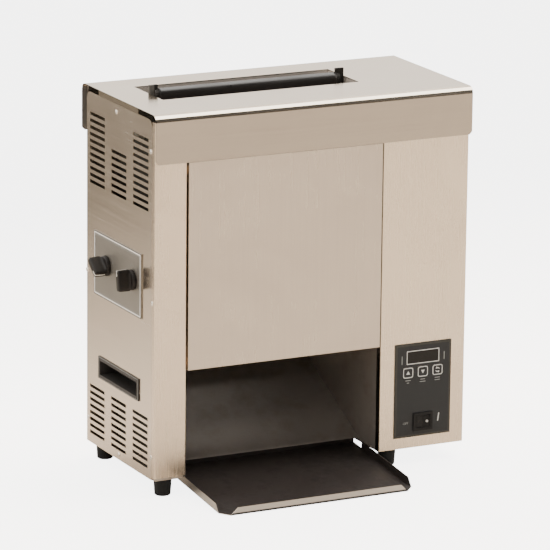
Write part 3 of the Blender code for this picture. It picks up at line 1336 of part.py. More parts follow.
def make_control_board():
    """Circuit board behind the overlay, with its posts, key switches and display."""
    back_of_front = BODY_FRONT + SHEET + SEAT_GAP
    inside = BOARD_Y + BOARD_THICKNESS / 2
    x_range = (RIGHT_BULKHEAD_X[1] + BOARD_LEFT_MARGIN, INNER_RIGHT - BOARD_RIGHT_MARGIN)
    z_range = (BOARD_BOTTOM, BOARD_BOTTOM + BOARD_HEIGHT)
    add = [
        rod("y", (x, z), BOARD_POST_RADIUS, back_of_front, inside, SMALL_SIDES)
        for x in grown(x_range, -BOARD_POST_INSET)
        for z in grown(z_range, -BOARD_POST_INSET)
    ]
    half = BOARD_SWITCH_HALF
    add += [
        box((x - half, x + half), (BOARD_Y - half, inside), (KEY_CENTRE_Z - half, KEY_CENTRE_Z + half))
        for x in key_centres()
    ]
    display_x = grown(centred(DISPLAY_CENTRE_X, DISPLAY_WIDTH), -WINDOW_RIM)
    display_z = grown((DISPLAY_BOTTOM, DISPLAY_BOTTOM + DISPLAY_HEIGHT), -WINDOW_RIM)
    add.append(box(display_x, (back_of_front, inside), display_z))
    board = box(x_range, (BOARD_Y, BOARD_Y + BOARD_THICKNESS), z_range)
    piece("control_board", BOARD_GREEN, board, add)


def make_fan():
    """Cooling fan behind the rear vent: the housing with its struts, and the rotor."""
    rear = INNER_REAR
    front = rear - FAN_DEPTH
    centre = (FAN_CENTRE_X, FAN_CENTRE_Z)
    frame = box(centred(FAN_CENTRE_X, FAN_SIZE), (front, rear), centred(FAN_CENTRE_Z, FAN_SIZE))
    opening = rod("y", centre, FAN_BORE_RADIUS, front - OVERRUN, rear + OVERRUN, 2 * ROUND_SIDES)
    strut_front = rear - FAN_STRUT_DEPTH
    spider = fan_spider(centre, strut_front, rear)
    piece("fan_housing", BLACK_PLASTIC, frame, cut=[opening], add_last=spider)

    rotor_rear = strut_front - FAN_BLADE_CLEARANCE
    rotor_front = rotor_rear - FAN_ROTOR_DEPTH
    hub = rod("y", centre, FAN_HUB_RADIUS, rotor_front, rotor_rear)
    pin = rod("y", centre, FAN_PIN_RADIUS, rotor_rear - SHEET, rear, SMALL_SIDES)
    middle = (rotor_front + rotor_rear) / 2
    chord = FAN_ROTOR_DEPTH
    inner = FAN_HUB_RADIUS - FAN_BLADE_CLEARANCE
    outer = FAN_BORE_RADIUS - FAN_BLADE_CLEARANCE
    blades = []
    for i in range(FAN_BLADES):
        blade = box((inner, outer), centred(0, chord), centred(0, FAN_BLADE_THICKNESS))
        turn = Matrix.Rotation(2 * math.pi * i / FAN_BLADES, 4, "Y")
        place = Matrix.Translation((FAN_CENTRE_X, middle, FAN_CENTRE_Z))
        blades.append(moved(blade, place @ turn @ Matrix.Rotation(FAN_BLADE_PITCH, 4, "X")))
    origin = (FAN_CENTRE_X, middle, FAN_CENTRE_Z)
    piece("fan_rotor", BLACK_PLASTIC, hub, [pin, joined(blades)], origin=origin)


def fan_spider(centre, front, rear):
    """Ring that carries the rotor's pin, and the three struts that hold it in the fan's frame."""
    bore = FAN_PIN_RADIUS + RUN_CLEARANCE
    profile = ((bore, front), (FAN_HUB_RADIUS, front), (FAN_HUB_RADIUS, rear), (bore, rear))
    shapes = [turned("y", centre, profile)]
    reach = (FAN_HUB_RADIUS - SHEET, FAN_BORE_RADIUS + SHEET)
    for i in range(FAN_STRUTS):
        strut = box(reach, (front, rear), centred(0, FAN_STRUT_WIDTH))
        turn = Matrix.Rotation(math.pi / 2 + 2 * math.pi * i / FAN_STRUTS, 4, "Y")
        shapes.append(moved(strut, Matrix.Translation((centre[0], 0, centre[1])) @ turn))
    return shapes[1:] + shapes[:1]


def make_power_parts():
    """Cord inlet in the back panel, and the thermostat on the left bulkhead."""
    outer = BODY_REAR + SEAT_GAP
    inner_end = BODY_REAR - SHEET - GLAND_INNER_LENGTH
    profile = (
        (GLAND_BORE_RADIUS, outer + GLAND_OUTER_LENGTH),
        (GLAND_RADIUS, outer + GLAND_OUTER_LENGTH),
        (GLAND_RADIUS, outer),
        (GLAND_THREAD_RADIUS, outer),
        (GLAND_THREAD_RADIUS, inner_end),
        (GLAND_BORE_RADIUS, inner_end),
    )
    piece("cord_inlet", BLACK_PLASTIC, turned("y", (FAN_CENTRE_X, GLAND_Z), profile), smooth=True)

    end = LEFT_BULKHEAD_X[0] - SEAT_GAP
    centre = (SLOT_CENTRE_Y, BODY_HEIGHT - THERMOSTAT_DROP)
    thermostat = rod("x", centre, THERMOSTAT_RADIUS, end - THERMOSTAT_DEPTH, end)
    piece("limit_thermostat", CERAMIC, thermostat, smooth=True)


def make_working_frame():
    """Parent of every part, which puts the origin under the middle of the toaster."""
    frame = bpy.data.objects.new("working_frame", None)
    bpy.context.scene.collection.objects.link(frame)
    frame.location = (-MIDDLE_X, -MIDDLE_Y, FOOT_HEIGHT)


def main():
    """Build the whole toaster."""
    clear_scene()
    make_working_frame()
    make_base_pan()
    make_feet()
    make_side_panels()
    make_back_panel()
    make_left_front_column()
    make_control_housing()
    make_bulkheads()
    make_front_rail()
    make_top_cover()
    make_front_panel()
    make_hand_holds()
    make_adjustment_plate()
    make_knobs()
    make_cams()
    make_platen()
    make_heaters()
    make_release_sheet()
    make_conveyor_frames()
    make_belts()
    make_shafts_and_rollers()
    make_bearings()
    make_sprockets()
    make_drive_chain()
    make_motor_group()
    make_discharge_chute()
    make_discharge_tray()
    make_overlay_and_display()
    make_keys()
    make_switch()
    make_control_board()
    make_fan()
    make_power_parts()


main()
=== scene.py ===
"""Looks of a vertical contact toaster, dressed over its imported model.

Lengths are in metres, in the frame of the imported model. Most sizes below are given in the maker's
working frame, in millimetres: X to the right from the left end of the cover, Y to the rear from the
face of the front apron, Z up from the underside of the body. The function `at` turns one into the other.
"""

import logging
import math
from collections.abc import Callable, Iterator, Mapping, Sequence
from dataclasses import dataclass
from enum import Enum
from functools import reduce

import bmesh
import bpy
import numpy as np
from mathutils import Matrix, Vector


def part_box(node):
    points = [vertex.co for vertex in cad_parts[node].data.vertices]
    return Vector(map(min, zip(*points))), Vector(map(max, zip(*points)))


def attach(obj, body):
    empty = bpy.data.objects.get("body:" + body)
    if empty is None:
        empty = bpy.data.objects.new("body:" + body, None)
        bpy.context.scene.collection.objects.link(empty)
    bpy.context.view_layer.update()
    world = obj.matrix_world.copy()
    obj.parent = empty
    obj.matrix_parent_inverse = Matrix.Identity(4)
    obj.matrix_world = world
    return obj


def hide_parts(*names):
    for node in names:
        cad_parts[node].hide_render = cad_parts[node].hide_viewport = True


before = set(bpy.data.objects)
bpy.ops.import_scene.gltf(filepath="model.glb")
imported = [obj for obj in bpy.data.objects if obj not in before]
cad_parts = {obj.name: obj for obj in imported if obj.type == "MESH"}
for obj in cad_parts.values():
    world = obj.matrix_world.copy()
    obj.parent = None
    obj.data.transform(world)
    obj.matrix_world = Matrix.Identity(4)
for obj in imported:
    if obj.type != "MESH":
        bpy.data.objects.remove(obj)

LOG = logging.getLogger("toaster")
WORKING_ORIGIN = np.array((0.24205, 0.0694489, -0.025))
MILLIMETRE = 0.001
SHARP_ANGLE = math.radians(40.0)
KNOB_AXIS_Z = 285.0
ENDS = ("front", "rear")

Colour = tuple[float, float, float]
Pair = tuple[float, float]
Node = bpy.types.Node
Piece = bpy.types.Object
Socket = bpy.types.NodeSocket


def at(points: Sequence | np.ndarray) -> np.ndarray:
    """Model places of points given in the working frame.

    Args:
        points: one point, or an array of points, in millimetres.

    Returns:
        The same points in metres in the frame of the model.
    """
    return np.asarray(points, dtype=float) * MILLIMETRE - WORKING_ORIGIN


class Grain(Enum):
    """Which way a sheet was brushed, as the stretch of the pattern along X, Y and Z."""

    ALONG_X = (1.0, 90.0, 90.0)
    ALONG_Y = (90.0, 1.0, 90.0)
    ALONG_Z = (90.0, 90.0, 1.0)


class NodeBench:
    """Small workbench that adds nodes to one node tree and joins them."""

    def __init__(self, tree: bpy.types.NodeTree) -> None:
        """Work on one tree."""
        self.tree = tree

    def add(self, kind: str, **settings: object) -> Node:
        """Node of a kind, with its settings.

        Args:
            kind: Blender's name for the node's type.
            settings: attributes to set on the node.

        Returns:
            The new node.
        """
        node = self.tree.nodes.new(kind)
        for name, value in settings.items():
            setattr(node, name, value)
        return node

    def give(self, socket: Socket, value: object) -> None:
        """Link a socket from another one, or set its plain value."""
        if isinstance(value, Socket):
            self.tree.links.new(value, socket)
        else:
            socket.default_value = value

    def feed(self, node: Node, **values: object) -> Node:
        """Give a node's inputs their values or links, named with _ for a space.

        Args:
            node: the node to feed.
            values: a socket to link from, or a plain value, for each input.

        Returns:
            The same node.
        """
        for name, value in values.items():
            self.give(node.inputs[name.replace("_", " ")], value)
        return node

    def maths(self, operation: str, *values: Socket | float) -> Socket:
        """Result of a Math node on sockets or numbers."""
        node = self.add("ShaderNodeMath", operation=operation)
        for socket, value in zip(node.inputs, values):
            self.give(socket, value)
        return node.outputs[0]

    def product(self, *values: Socket | float) -> Socket:
        """All the values multiplied together."""
        return reduce(lambda first, second: self.maths("MULTIPLY", first, second), values)

    def distance(self, value: Socket, middle: float) -> Socket:
        """How far a value lies from a middle."""
        return self.maths("ABSOLUTE", self.maths("SUBTRACT", value, middle))

    def ranged(self, value: Socket, low: float, high: float, start: float = 0.0, end: float = 1.0) -> Socket:
        """Value carried from one range to another, held at both ends."""
        node = self.add("ShaderNodeMapRange", clamp=True)
        return self.feed(node, Value=value, From_Min=low, From_Max=high, To_Min=start, To_Max=end).outputs["Result"]

    def falling(self, value: Socket, low: float, high: float) -> Socket:
        """1 below a range, and down to 0 above it."""
        return self.ranged(value, low, high, start=1.0, end=0.0)

    def within(self, value: Socket, low: float, high: float, soft: float = 0.0003) -> Socket:
        """1 where a value lies between two limits, with a soft step at both."""
        rising = self.ranged(value, low - soft, low + soft)
        return self.product(rising, self.falling(value, high - soft, high + soft))

    def blend(self, share: Socket | float, first: Socket | Colour, second: Socket | Colour) -> Socket:
        """Colour between two colours, by a share from 0 to 1."""
        node = self.add("ShaderNodeMix", data_type="RGBA")
        for index, value in ((0, share), (6, first), (7, second)):
            self.give(node.inputs[index], (*value, 1.0) if isinstance(value, tuple) else value)
        return node.outputs[2]

    def noise(self, **values: object) -> Socket:
        """Height of a noise with these inputs."""
        return self.feed(self.add("ShaderNodeTexNoise"), **values).outputs["Fac"]

    def split(self, vector: Socket) -> Mapping[str, Socket]:
        """X, Y and Z of a vector."""
        return self.feed(self.add("ShaderNodeSeparateXYZ"), Vector=vector).outputs

    def surface(self) -> Iterator[Mapping[str, Socket]]:
        """X, Y and Z of the way that the surface faces, and of its place."""
        source = self.add("ShaderNodeTexCoord").outputs
        return (self.split(source[name]) for name in ("Normal", "Object"))

    def coordinates(self, stretch: Sequence[float]) -> Socket:
        """Object coordinates, stretched by a Mapping node."""
        source = self.add("ShaderNodeTexCoord").outputs["Object"]
        return self.feed(self.add("ShaderNodeMapping"), Vector=source, Scale=tuple(stretch)).outputs["Vector"]


class SharedEffects:
    """Node groups that several finishes use, each built once by the method of its name."""

    @staticmethod
    def brush_lines(bench: NodeBench, vector: Socket, scale: Socket) -> dict[str, Socket]:
        """Brush lines: mean of a fine and a coarse noise, both drawn out along the brushing."""
        fine = bench.noise(Vector=vector, Scale=scale, Detail=3.0)
        coarse = bench.noise(Vector=vector, Scale=bench.maths("MULTIPLY", scale, 0.22), Detail=2.0)
        return {"Lines": bench.maths("MULTIPLY", bench.maths("ADD", fine, coarse), 0.5)}

    @staticmethod
    def handling_marks(bench: NodeBench, vector: Socket, scale: Socket) -> dict[str, Socket]:
        """Wipe marks, a soft warped noise, and thin scratches, the thin crests of a stretched one."""
        smears = bench.noise(Vector=vector, Scale=scale, Detail=5.0, Roughness=0.62, Distortion=1.4)
        drawn = bench.add("ShaderNodeMapping")
        bench.feed(drawn, Vector=vector, Scale=(1.0, 2.3, 6.5), Rotation=(0.5, 0.4, 0.3))
        thin = bench.noise(Vector=drawn.outputs["Vector"], Scale=bench.maths("MULTIPLY", scale, 5.0), Detail=2.0)
        return {"Smears": smears, "Scratches": bench.falling(bench.distance(thin, 0.5), 0.0, 0.006)}

    @staticmethod
    def moulded_grain(bench: NodeBench, vector: Socket, scale: Socket) -> dict[str, Socket]:
        """Spark-eroded grain of moulded plastic and rubber: rounded cells about scattered points."""
        cells = bench.add("ShaderNodeTexVoronoi", feature="SMOOTH_F1")
        return {"Pebbles": bench.feed(cells, Vector=vector, Scale=scale).outputs["Distance"]}

    @staticmethod
    def baked_deposit(bench: NodeBench, vector: Socket, scale: Socket) -> dict[str, Socket]:
        """Brown deposits near the heat: a rough noise, cut off below a level so that it lies in patches."""
        cloud = bench.noise(Vector=vector, Scale=scale, Detail=8.0, Roughness=0.7)
        return {"Deposit": bench.ranged(cloud, 0.48, 0.72)}

    @staticmethod
    def use(
        bench: NodeBench, effect: Callable, scale: float, stretch: Sequence[float] = (1.0, 1.0, 1.0)
    ) -> Mapping[str, Socket]:
        """Group node of an effect in a material, on object coordinates.

        Args:
            bench: bench of the material.
            effect: the method that fills the group when it is first used.
            scale: the effect's scale in this material.
            stretch: stretch of the coordinates.

        Returns:
            The group node's outputs by name.
        """
        name = effect.__name__
        tree = bpy.data.node_groups.get(name)
        if not tree:
            tree = bpy.data.node_groups.new(name, "ShaderNodeTree")
            tree.interface.new_socket("Vector", in_out="INPUT", socket_type="NodeSocketVector")
            tree.interface.new_socket("Scale", in_out="INPUT", socket_type="NodeSocketFloat")
            inside = NodeBench(tree)
            source = inside.add("NodeGroupInput").outputs
            results = effect(inside, source["Vector"], source["Scale"])
            for label in results:
                tree.interface.new_socket(label, in_out="OUTPUT", socket_type="NodeSocketFloat")
            inside.feed(inside.add("NodeGroupOutput"), **results)
        node = bench.add("ShaderNodeGroup", node_tree=tree)
        return bench.feed(node, Vector=bench.coordinates(stretch), Scale=scale).outputs


def fresh_material(name: str) -> tuple[bpy.types.Material, NodeBench, Node]:
    """New material, its bench and its shader."""
    material = bpy.data.materials.new(name)
    material.use_nodes = True
    return material, NodeBench(material.node_tree), material.node_tree.nodes["Principled BSDF"]


@dataclass(frozen=True)
class Finish:
    """Base of every finish: a Principled surface with handling marks."""

    name: str
    colour: Colour
    roughness: float
    metallic: float = 0.0
    smear: float = 0.08
    marks_scale: float = 6.0
    specular: float = 0.5

    def material(self) -> bpy.types.Material:
        """Material of this finish, made once and then found by name."""
        found = bpy.data.materials.get(self.name)
        if found:
            return found
        material, bench, shader = fresh_material(self.name)
        bench.feed(shader, Metallic=self.metallic, Specular_IOR_Level=self.specular)
        self.dress(bench, shader)
        material.diffuse_color = (*self.colour, 1.0)
        return material

    def marks(self, bench: NodeBench) -> tuple[Socket, Socket]:
        """Smears and scratches of handling."""
        marks = SharedEffects.use(bench, SharedEffects.handling_marks, self.marks_scale)
        return marks["Smears"], marks["Scratches"]

    def shade(self, share: float) -> Colour:
        """This finish's colour times a share."""
        return tuple(min(1.0, channel * share) for channel in self.colour)

    def smeared(self, bench: NodeBench, smears: Socket) -> Socket:
        """Colour a little darker and lighter by the smears."""
        return bench.blend(smears, self.shade(1.0 - self.smear), self.shade(1.0 + self.smear))

    def scratched(self, bench: NodeBench, scratches: Socket, base: Socket, depth: float, bright: float) -> Socket:
        """Colour with a brighter shade of the finish along the scratches."""
        return bench.blend(bench.maths("MULTIPLY", scratches, depth), base, self.shade(bright))

    def rubbed(self, bench: NodeBench, smears: Socket, less: float, more: float) -> Socket:
        """Roughness from a little less to a little more than the finish's own, by the smears."""
        return bench.ranged(smears, 0.3, 0.7, self.roughness - less, self.roughness + more)

    @staticmethod
    def bumped(bench: NodeBench, shader: Node, height: Socket, strength: float, distance: float) -> None:
        """Give the shader its bump from a height."""
        bump = bench.feed(bench.add("ShaderNodeBump"), Height=height, Strength=strength, Distance=distance)
        bench.feed(shader, Normal=bump.outputs["Normal"])

    @staticmethod
    def own(shader: Node, name: str) -> Socket:
        """Socket that one of the shader's inputs is fed from so far."""
        return shader.inputs[name].links[0].from_socket

    def painted_over(self, bench: NodeBench, shader: Node, share: Socket, colour: Colour) -> None:
        """Lay a colour over the surface's own where the share is 1."""
        bench.feed(shader, Base_Color=bench.blend(share, self.own(shader, "Base Color"), colour))

    def dress(self, bench: NodeBench, shader: Node) -> None:
        """Colour and roughness from the smears alone."""
        smears, scratches = self.marks(bench)
        colour = self.scratched(bench, scratches, self.smeared(bench, smears), depth=0.25, bright=1.5)
        bench.feed(shader, Base_Color=colour, Roughness=self.rubbed(bench, smears, self.smear, self.smear))


@dataclass(frozen=True)
class BrushedSheet(Finish):
    """Brushed stainless sheet, with its grain along one axis."""

    grain: Grain = Grain.ALONG_X
    lines_scale: float = 9.0
    depth: float = 0.00001
    contrast: float = 0.035

    def dress(self, bench: NodeBench, shader: Node) -> None:
        """Grain lines vary colour, roughness and height; smears and scratches lie over them."""
        lines = SharedEffects.use(bench, SharedEffects.brush_lines, self.lines_scale, self.grain.value)["Lines"]
        smears, scratches = self.marks(bench)
        dark, light = self.shade(1.0 - self.contrast), self.shade(1.0 + self.contrast)
        brushed = bench.blend(bench.ranged(lines, 0.35, 0.65), dark, light)
        wiped = bench.blend(bench.ranged(smears, 0.35, 0.75, 0.0, 0.5), brushed, self.shade(1.0 - self.smear))
        bench.feed(shader, Base_Color=self.scratched(bench, scratches, wiped, depth=0.12, bright=1.3))
        grainy = bench.ranged(lines, 0.3, 0.7, self.roughness - 0.05, self.roughness + 0.05)
        bench.feed(shader, Roughness=bench.maths("ADD", grainy, bench.ranged(smears, 0.3, 0.8, -0.03, 0.06)))
        self.bumped(bench, shader, lines, strength=0.12, distance=self.depth)


@dataclass(frozen=True)
class CoverSheet(BrushedSheet):
    """Cover's sheet, with painted shadow on its cut ends and the ends of its apron, a pale painted highlight on the
    less mirror-like flanges round the feed slot, painted shade on the front apron, and a painted dull grey for the
    light on the rear apron's inner face.
    """

    # Painted shadow on the cut ends and along the ends of the apron, for the dark gaps beside them.
    edge_shadow: Colour = (0.07, 0.062, 0.055)
    # Pale painted highlight on the flanges round the feed slot, which are also made less metallic.
    flange_highlight: Colour = (0.70, 0.62, 0.55)
    # Dull grey painted on the rear apron's inner face for the light on it, which is also made less metallic.
    inner_face_painted_light: Colour = (0.20, 0.188, 0.175)
    # Painted shade: the front apron darker than the top of the same sheet, because it faces the front.
    apron_painted_shade: Colour = (0.47, 0.405, 0.335)
    dull: float = 0.30
    middle_x: float = 0.01345
    middle_y: float = 0.05955
    edge_from: float = 0.2542
    flange_half: float = 0.069
    flange_soft: float = 0.0003
    edge_soft: float = 0.0002
    sideways: Pair = (0.85, 0.95)
    forwards: Pair = (-0.98, -0.90)
    upright: Pair = (-0.999, -0.990)
    front_y: Pair = (-0.0690, -0.0685)
    rear_y: Pair = (0.1850, 0.1860)
    slot_x: Pair = (-0.1875, 0.1325)
    slot_y: Pair = (0.0260, 0.1290)
    slot_z: Pair = (0.5485, 0.5638)

    def dress(self, bench: NodeBench, shader: Node) -> None:
        """Painted shadow on cut ends and apron ends, painted highlight on slot flanges, painted shade on the front
        apron and painted light on the rear apron's inner face, by their facing and place.
        """
        super().dress(bench, shader)
        facing, place_of = bench.surface()
        sideways = bench.ranged(bench.maths("ABSOLUTE", facing["X"]), *self.sideways)
        off_middle = bench.distance(place_of["Y"], self.middle_y)
        beyond = bench.ranged(off_middle, self.flange_half - self.flange_soft, self.flange_half + self.flange_soft)
        slot = bench.product(
            bench.within(place_of["X"], *self.slot_x),
            bench.within(place_of["Y"], *self.slot_y),
            bench.within(place_of["Z"], *self.slot_z),
        )
        off_centre = bench.distance(place_of["X"], self.middle_x)
        end = bench.ranged(off_centre, self.edge_from - self.edge_soft, self.edge_from + self.edge_soft)
        forwards = bench.falling(facing["Y"], *self.forwards)
        upright = bench.falling(facing["Y"], *self.upright)
        front = bench.falling(place_of["Y"], *self.front_y)
        inside = bench.product(bench.ranged(place_of["Y"], *self.rear_y), forwards)
        # Painted shadow, painted highlight, painted shade and painted light, laid over the sheet's own colour in
        # turn.
        for share, colour in (
            (bench.product(sideways, beyond), self.edge_shadow),
            (slot, self.flange_highlight),
            (bench.product(end, forwards, front), self.edge_shadow),
            (bench.product(upright, front), self.apron_painted_shade),
            (inside, self.inner_face_painted_light),
        ):
            self.painted_over(bench, shader, share, colour)
        dulled = bench.maths("MAXIMUM", slot, inside)
        bench.feed(shader, Metallic=bench.ranged(dulled, 0.0, 1.0, self.metallic, self.dull))


@dataclass(frozen=True)
class HousingSheet(BrushedSheet):
    """Column's sheet, with painted shade on its return beside the front panel."""

    shade_colour: Colour = (0.045, 0.040, 0.036)
    leftwards: Pair = (-0.35, -0.15)
    return_x: Pair = (0.1215, 0.1252)

    def dress(self, bench: NodeBench, shader: Node) -> None:
        """Painted shade on the return, where it looks to the left at the edge of the opening."""
        super().dress(bench, shader)
        facing, place_of = bench.surface()
        leftwards = bench.falling(facing["X"], *self.leftwards)
        share = bench.product(leftwards, bench.within(place_of["X"], *self.return_x))
        # Painted shade on the return.
        self.painted_over(bench, shader, share, self.shade_colour)


@dataclass(frozen=True)
class MouldedPlastic(Finish):
    """Moulded plastic or rubber, with a pebbled grain."""

    pebble_scale: float = 1400.0
    pebble_depth: float = 0.00004

    def dress(self, bench: NodeBench, shader: Node) -> None:
        """Pebbles give the bump; smears vary the gloss and slightly grey the colour."""
        smears, scratches = self.marks(bench)
        base = bench.blend(smears, self.shade(0.85), self.shade(1.0 + 2.0 * self.smear))
        colour = self.scratched(bench, scratches, base, depth=0.2, bright=2.2)
        bench.feed(shader, Base_Color=colour, Roughness=self.rubbed(bench, smears, self.smear, self.smear))
        pebbles = SharedEffects.use(bench, SharedEffects.moulded_grain, self.pebble_scale)["Pebbles"]
        self.bumped(bench, shader, pebbles, strength=0.35, distance=self.pebble_depth)


@dataclass(frozen=True)
class BakedMetal(Finish):
    """Metal near the heat, with tinted patches and brown deposits."""

    tint: Colour = (0.20, 0.12, 0.06)
    amount: float = 0.35
    deposit_scale: float = 16.0

    def dress(self, bench: NodeBench, shader: Node) -> None:
        """Deposits darken the colour and roughen the surface in patches."""
        smears, scratches = self.marks(bench)
        deposit = SharedEffects.use(bench, SharedEffects.baked_deposit, self.deposit_scale)["Deposit"]
        share = bench.maths("MULTIPLY", deposit, self.amount)
        tinted = bench.blend(share, self.smeared(bench, smears), self.tint)
        rubbed = self.rubbed(bench, smears, less=0.06, more=0.06)
        rough = bench.maths("ADD", rubbed, bench.maths("MULTIPLY", share, 0.4))
        colour = self.scratched(bench, scratches, tinted, depth=0.2, bright=1.6)
        bench.feed(shader, Base_Color=colour, Roughness=rough)
        self.bumped(bench, shader, deposit, strength=0.25, distance=0.0001)


@dataclass(frozen=True)
class PlatenCasting(BakedMetal):
    """Platen's dark casting, with painted light on its left end stop."""

    # Painted light: the left end stop lighter than the rest of the casting, for the light that falls on it.
    stop_painted_light: Colour = (0.13, 0.122, 0.112)
    stop_right: float = -0.1768
    fade: float = 0.002

    def dress(self, bench: NodeBench, shader: Node) -> None:
        """Painted light on the left stop, fading out to the right over two millimetres of it."""
        super().dress(bench, shader)
        _, place_of = bench.surface()
        # Painted light on the left stop's lit part.
        pale = bench.falling(place_of["X"], self.stop_right - self.fade, self.stop_right)
        self.painted_over(bench, shader, pale, self.stop_painted_light)


@dataclass(frozen=True)
class CoatedTray(BakedMetal):
    """Tray with a dark non-stick coat inside and bare brushed steel outside."""

    lip: Pair = (0.0006, 0.0010)
    steel: Colour = (0.66, 0.62, 0.58)
    steel_roughness: float = 0.34
    middle_x: float = 0.0
    front_y: float = 0.0

    def dress(self, bench: NodeBench, shader: Node) -> None:
        """The bare share is 1 on faces that look away from the tray's middle, and 0 within it."""
        super().dress(bench, shader)
        coat, coat_rough = self.own(shader, "Base Color"), self.own(shader, "Roughness")
        facing, place_of = bench.surface()
        side = bench.maths("SIGN", bench.maths("SUBTRACT", place_of["X"], self.middle_x))
        sideways = bench.product(facing["X"], side)
        near_front = bench.falling(place_of["Y"], *(self.front_y + reach for reach in self.lip))
        forwards = bench.product(facing["Y"], -1.0, near_front)
        downward = bench.product(facing["Z"], -1.0)
        outward = bench.maths("MAXIMUM", bench.maths("MAXIMUM", sideways, forwards), downward)
        bare = bench.ranged(outward, 0.4, 0.6)
        change = bench.maths("SUBTRACT", self.steel_roughness, coat_rough)
        smooth = bench.maths("MULTIPLY_ADD", change, bare, coat_rough)
        bench.feed(shader, Base_Color=bench.blend(bare, coat, self.steel), Roughness=smooth, Metallic=bare)


@dataclass(frozen=True)
class WovenSheet(Finish):
    """Coated glass cloth: a fine plain weave seen through a smooth dark coat."""

    threads: float = 1250.0

    def dress(self, bench: NodeBench, shader: Node) -> None:
        """Weave height is the product of two sine waves along the cloth's own two directions."""
        parts = bench.split(bench.add("ShaderNodeUVMap", uv_map="cloth").outputs["UV"])
        turns = (bench.maths("MULTIPLY", parts[axis], self.threads * math.tau) for axis in "XY")
        waves = (bench.maths("SINE", turn) for turn in turns)
        weave = bench.maths("MULTIPLY_ADD", bench.product(*waves), 0.5, 0.5)
        smears, _ = self.marks(bench)
        browned = bench.blend(smears, self.shade(0.8), self.shade(1.7))
        colour = self.scratched(bench, weave, browned, depth=0.35, bright=1.6)
        bench.feed(shader, Base_Color=colour, Roughness=self.rubbed(bench, smears, less=0.07, more=0.12))
        self.bumped(bench, shader, weave, strength=0.3, distance=0.00005)


SHEET_ALONG_X = BrushedSheet("brushed_sheet_along_x", (0.62, 0.555, 0.49), 0.30, 1.0, grain=Grain.ALONG_X)
SHEET_ALONG_Y = BrushedSheet("brushed_sheet_along_y", (0.83, 0.725, 0.61), 0.22, 1.0, grain=Grain.ALONG_Y)
COVER_SHEET = CoverSheet("cover_sheet", (0.60, 0.520, 0.42), 0.18, 1.0, grain=Grain.ALONG_X)
PANEL_SHEET = BrushedSheet("front_panel_sheet", (0.68, 0.585, 0.49), 0.30, 1.0, grain=Grain.ALONG_Z)
COLUMN_SHEET = BrushedSheet("column_sheet", (0.88, 0.735, 0.58), 0.26, 1.0, grain=Grain.ALONG_Z)
HOUSING_SHEET = HousingSheet("housing_sheet", (0.91, 0.765, 0.60), 0.26, 1.0, grain=Grain.ALONG_Z)
CHUTE_SHEET = BakedMetal("chute_sheet", (0.30, 0.268, 0.245), 0.48, 0.45, tint=(0.12, 0.09, 0.07), amount=0.3)
PLATED = BakedMetal("bright_plated_steel", (0.50, 0.50, 0.49), 0.40, 1.0, amount=0.12)
# Bulkheads, cross rail and motor bracket painted a dark green-grey for the shade inside the body, with baked
# deposits over it.
GALVANISED_IN_PAINTED_SHADE = BakedMetal("galvanised_bulkhead_painted_shade", (0.10, 0.105, 0.095), 0.50, 0.7, amount=0.25, deposit_scale=40.0)
DARK_STEEL = BakedMetal("oiled_dark_steel", (0.16, 0.16, 0.155), 0.40, 1.0, tint=(0.05, 0.03, 0.02))
CAST = PlatenCasting(
    "seasoned_casting", (0.022, 0.020, 0.018), 0.70, specular=0.2, tint=(0.03, 0.02, 0.012), amount=0.4
)
BRONZE = BakedMetal("sintered_bronze", (0.46, 0.29, 0.13), 0.45, 1.0, tint=(0.12, 0.06, 0.02), amount=0.3)
PLASTIC = MouldedPlastic("black_moulded_plastic", (0.008, 0.008, 0.009), 0.42, specular=0.25)
HOLD_PLASTIC = MouldedPlastic("hand_hold_plastic", (0.036, 0.033, 0.031), 0.50, specular=0.35)
KNOB_PLASTIC = MouldedPlastic("knob_plastic", (0.010, 0.008, 0.007), 0.34, specular=0.35, pebble_depth=0.00002)
RUBBER = MouldedPlastic("moulded_black_rubber", (0.012, 0.013, 0.014), 0.75, specular=0.3, pebble_scale=900.0)
SILICONE = MouldedPlastic("belt_silicone", (0.13, 0.125, 0.115), 0.62, pebble_scale=700.0)
OVERLAY = MouldedPlastic(
    "printed_overlay", (0.026, 0.028, 0.031), 0.40, specular=0.3, pebble_scale=2600.0, pebble_depth=0.00001
)
OVERLAY_EDGE = MouldedPlastic("overlay_border", (0.052, 0.050, 0.044), 0.45, specular=0.3, pebble_scale=2600.0)
DIAL_PLATE = BrushedSheet("dial_plate_face", (0.30, 0.28, 0.25), 0.36, 0.7, grain=Grain.ALONG_Y, smear=0.16)
WHITE_INK = Finish("white_ink", (0.80, 0.80, 0.78), 0.45)
# Pale painted highlight for the adjustment plate's bright bevelled edge.
PLATE_EDGE_HIGHLIGHT = Finish("plate_border_painted_highlight", (0.86, 0.84, 0.80), 0.42)
GREY_INK = Finish("grey_ink", (0.30, 0.31, 0.30), 0.50)
POINTER_PAINT = Finish("pointer_paint", (0.82, 0.80, 0.74), 0.40)
SCREW_STEEL = BakedMetal("screw_head_steel", (0.90, 0.86, 0.80), 0.24, 1.0, amount=0.20, deposit_scale=90.0)
LENS = Finish("smoked_display_lens", (0.006, 0.005, 0.005), 0.16, smear=0.03, marks_scale=22.0, specular=0.3)
BOARD = Finish("board_laminate", (0.02, 0.13, 0.05), 0.42, smear=0.12, marks_scale=40.0)
CERAMIC = MouldedPlastic("glazed_ceramic", (0.66, 0.64, 0.57), 0.35, pebble_scale=500.0)
CLOTH = WovenSheet("release_cloth", (0.012, 0.010, 0.009), 0.34, specular=0.4)


def both(*names: str) -> tuple[str, ...]:
    """Each name once for the front and once for the rear."""
    return tuple(f"{end}_{name}" for end in ENDS for name in names)


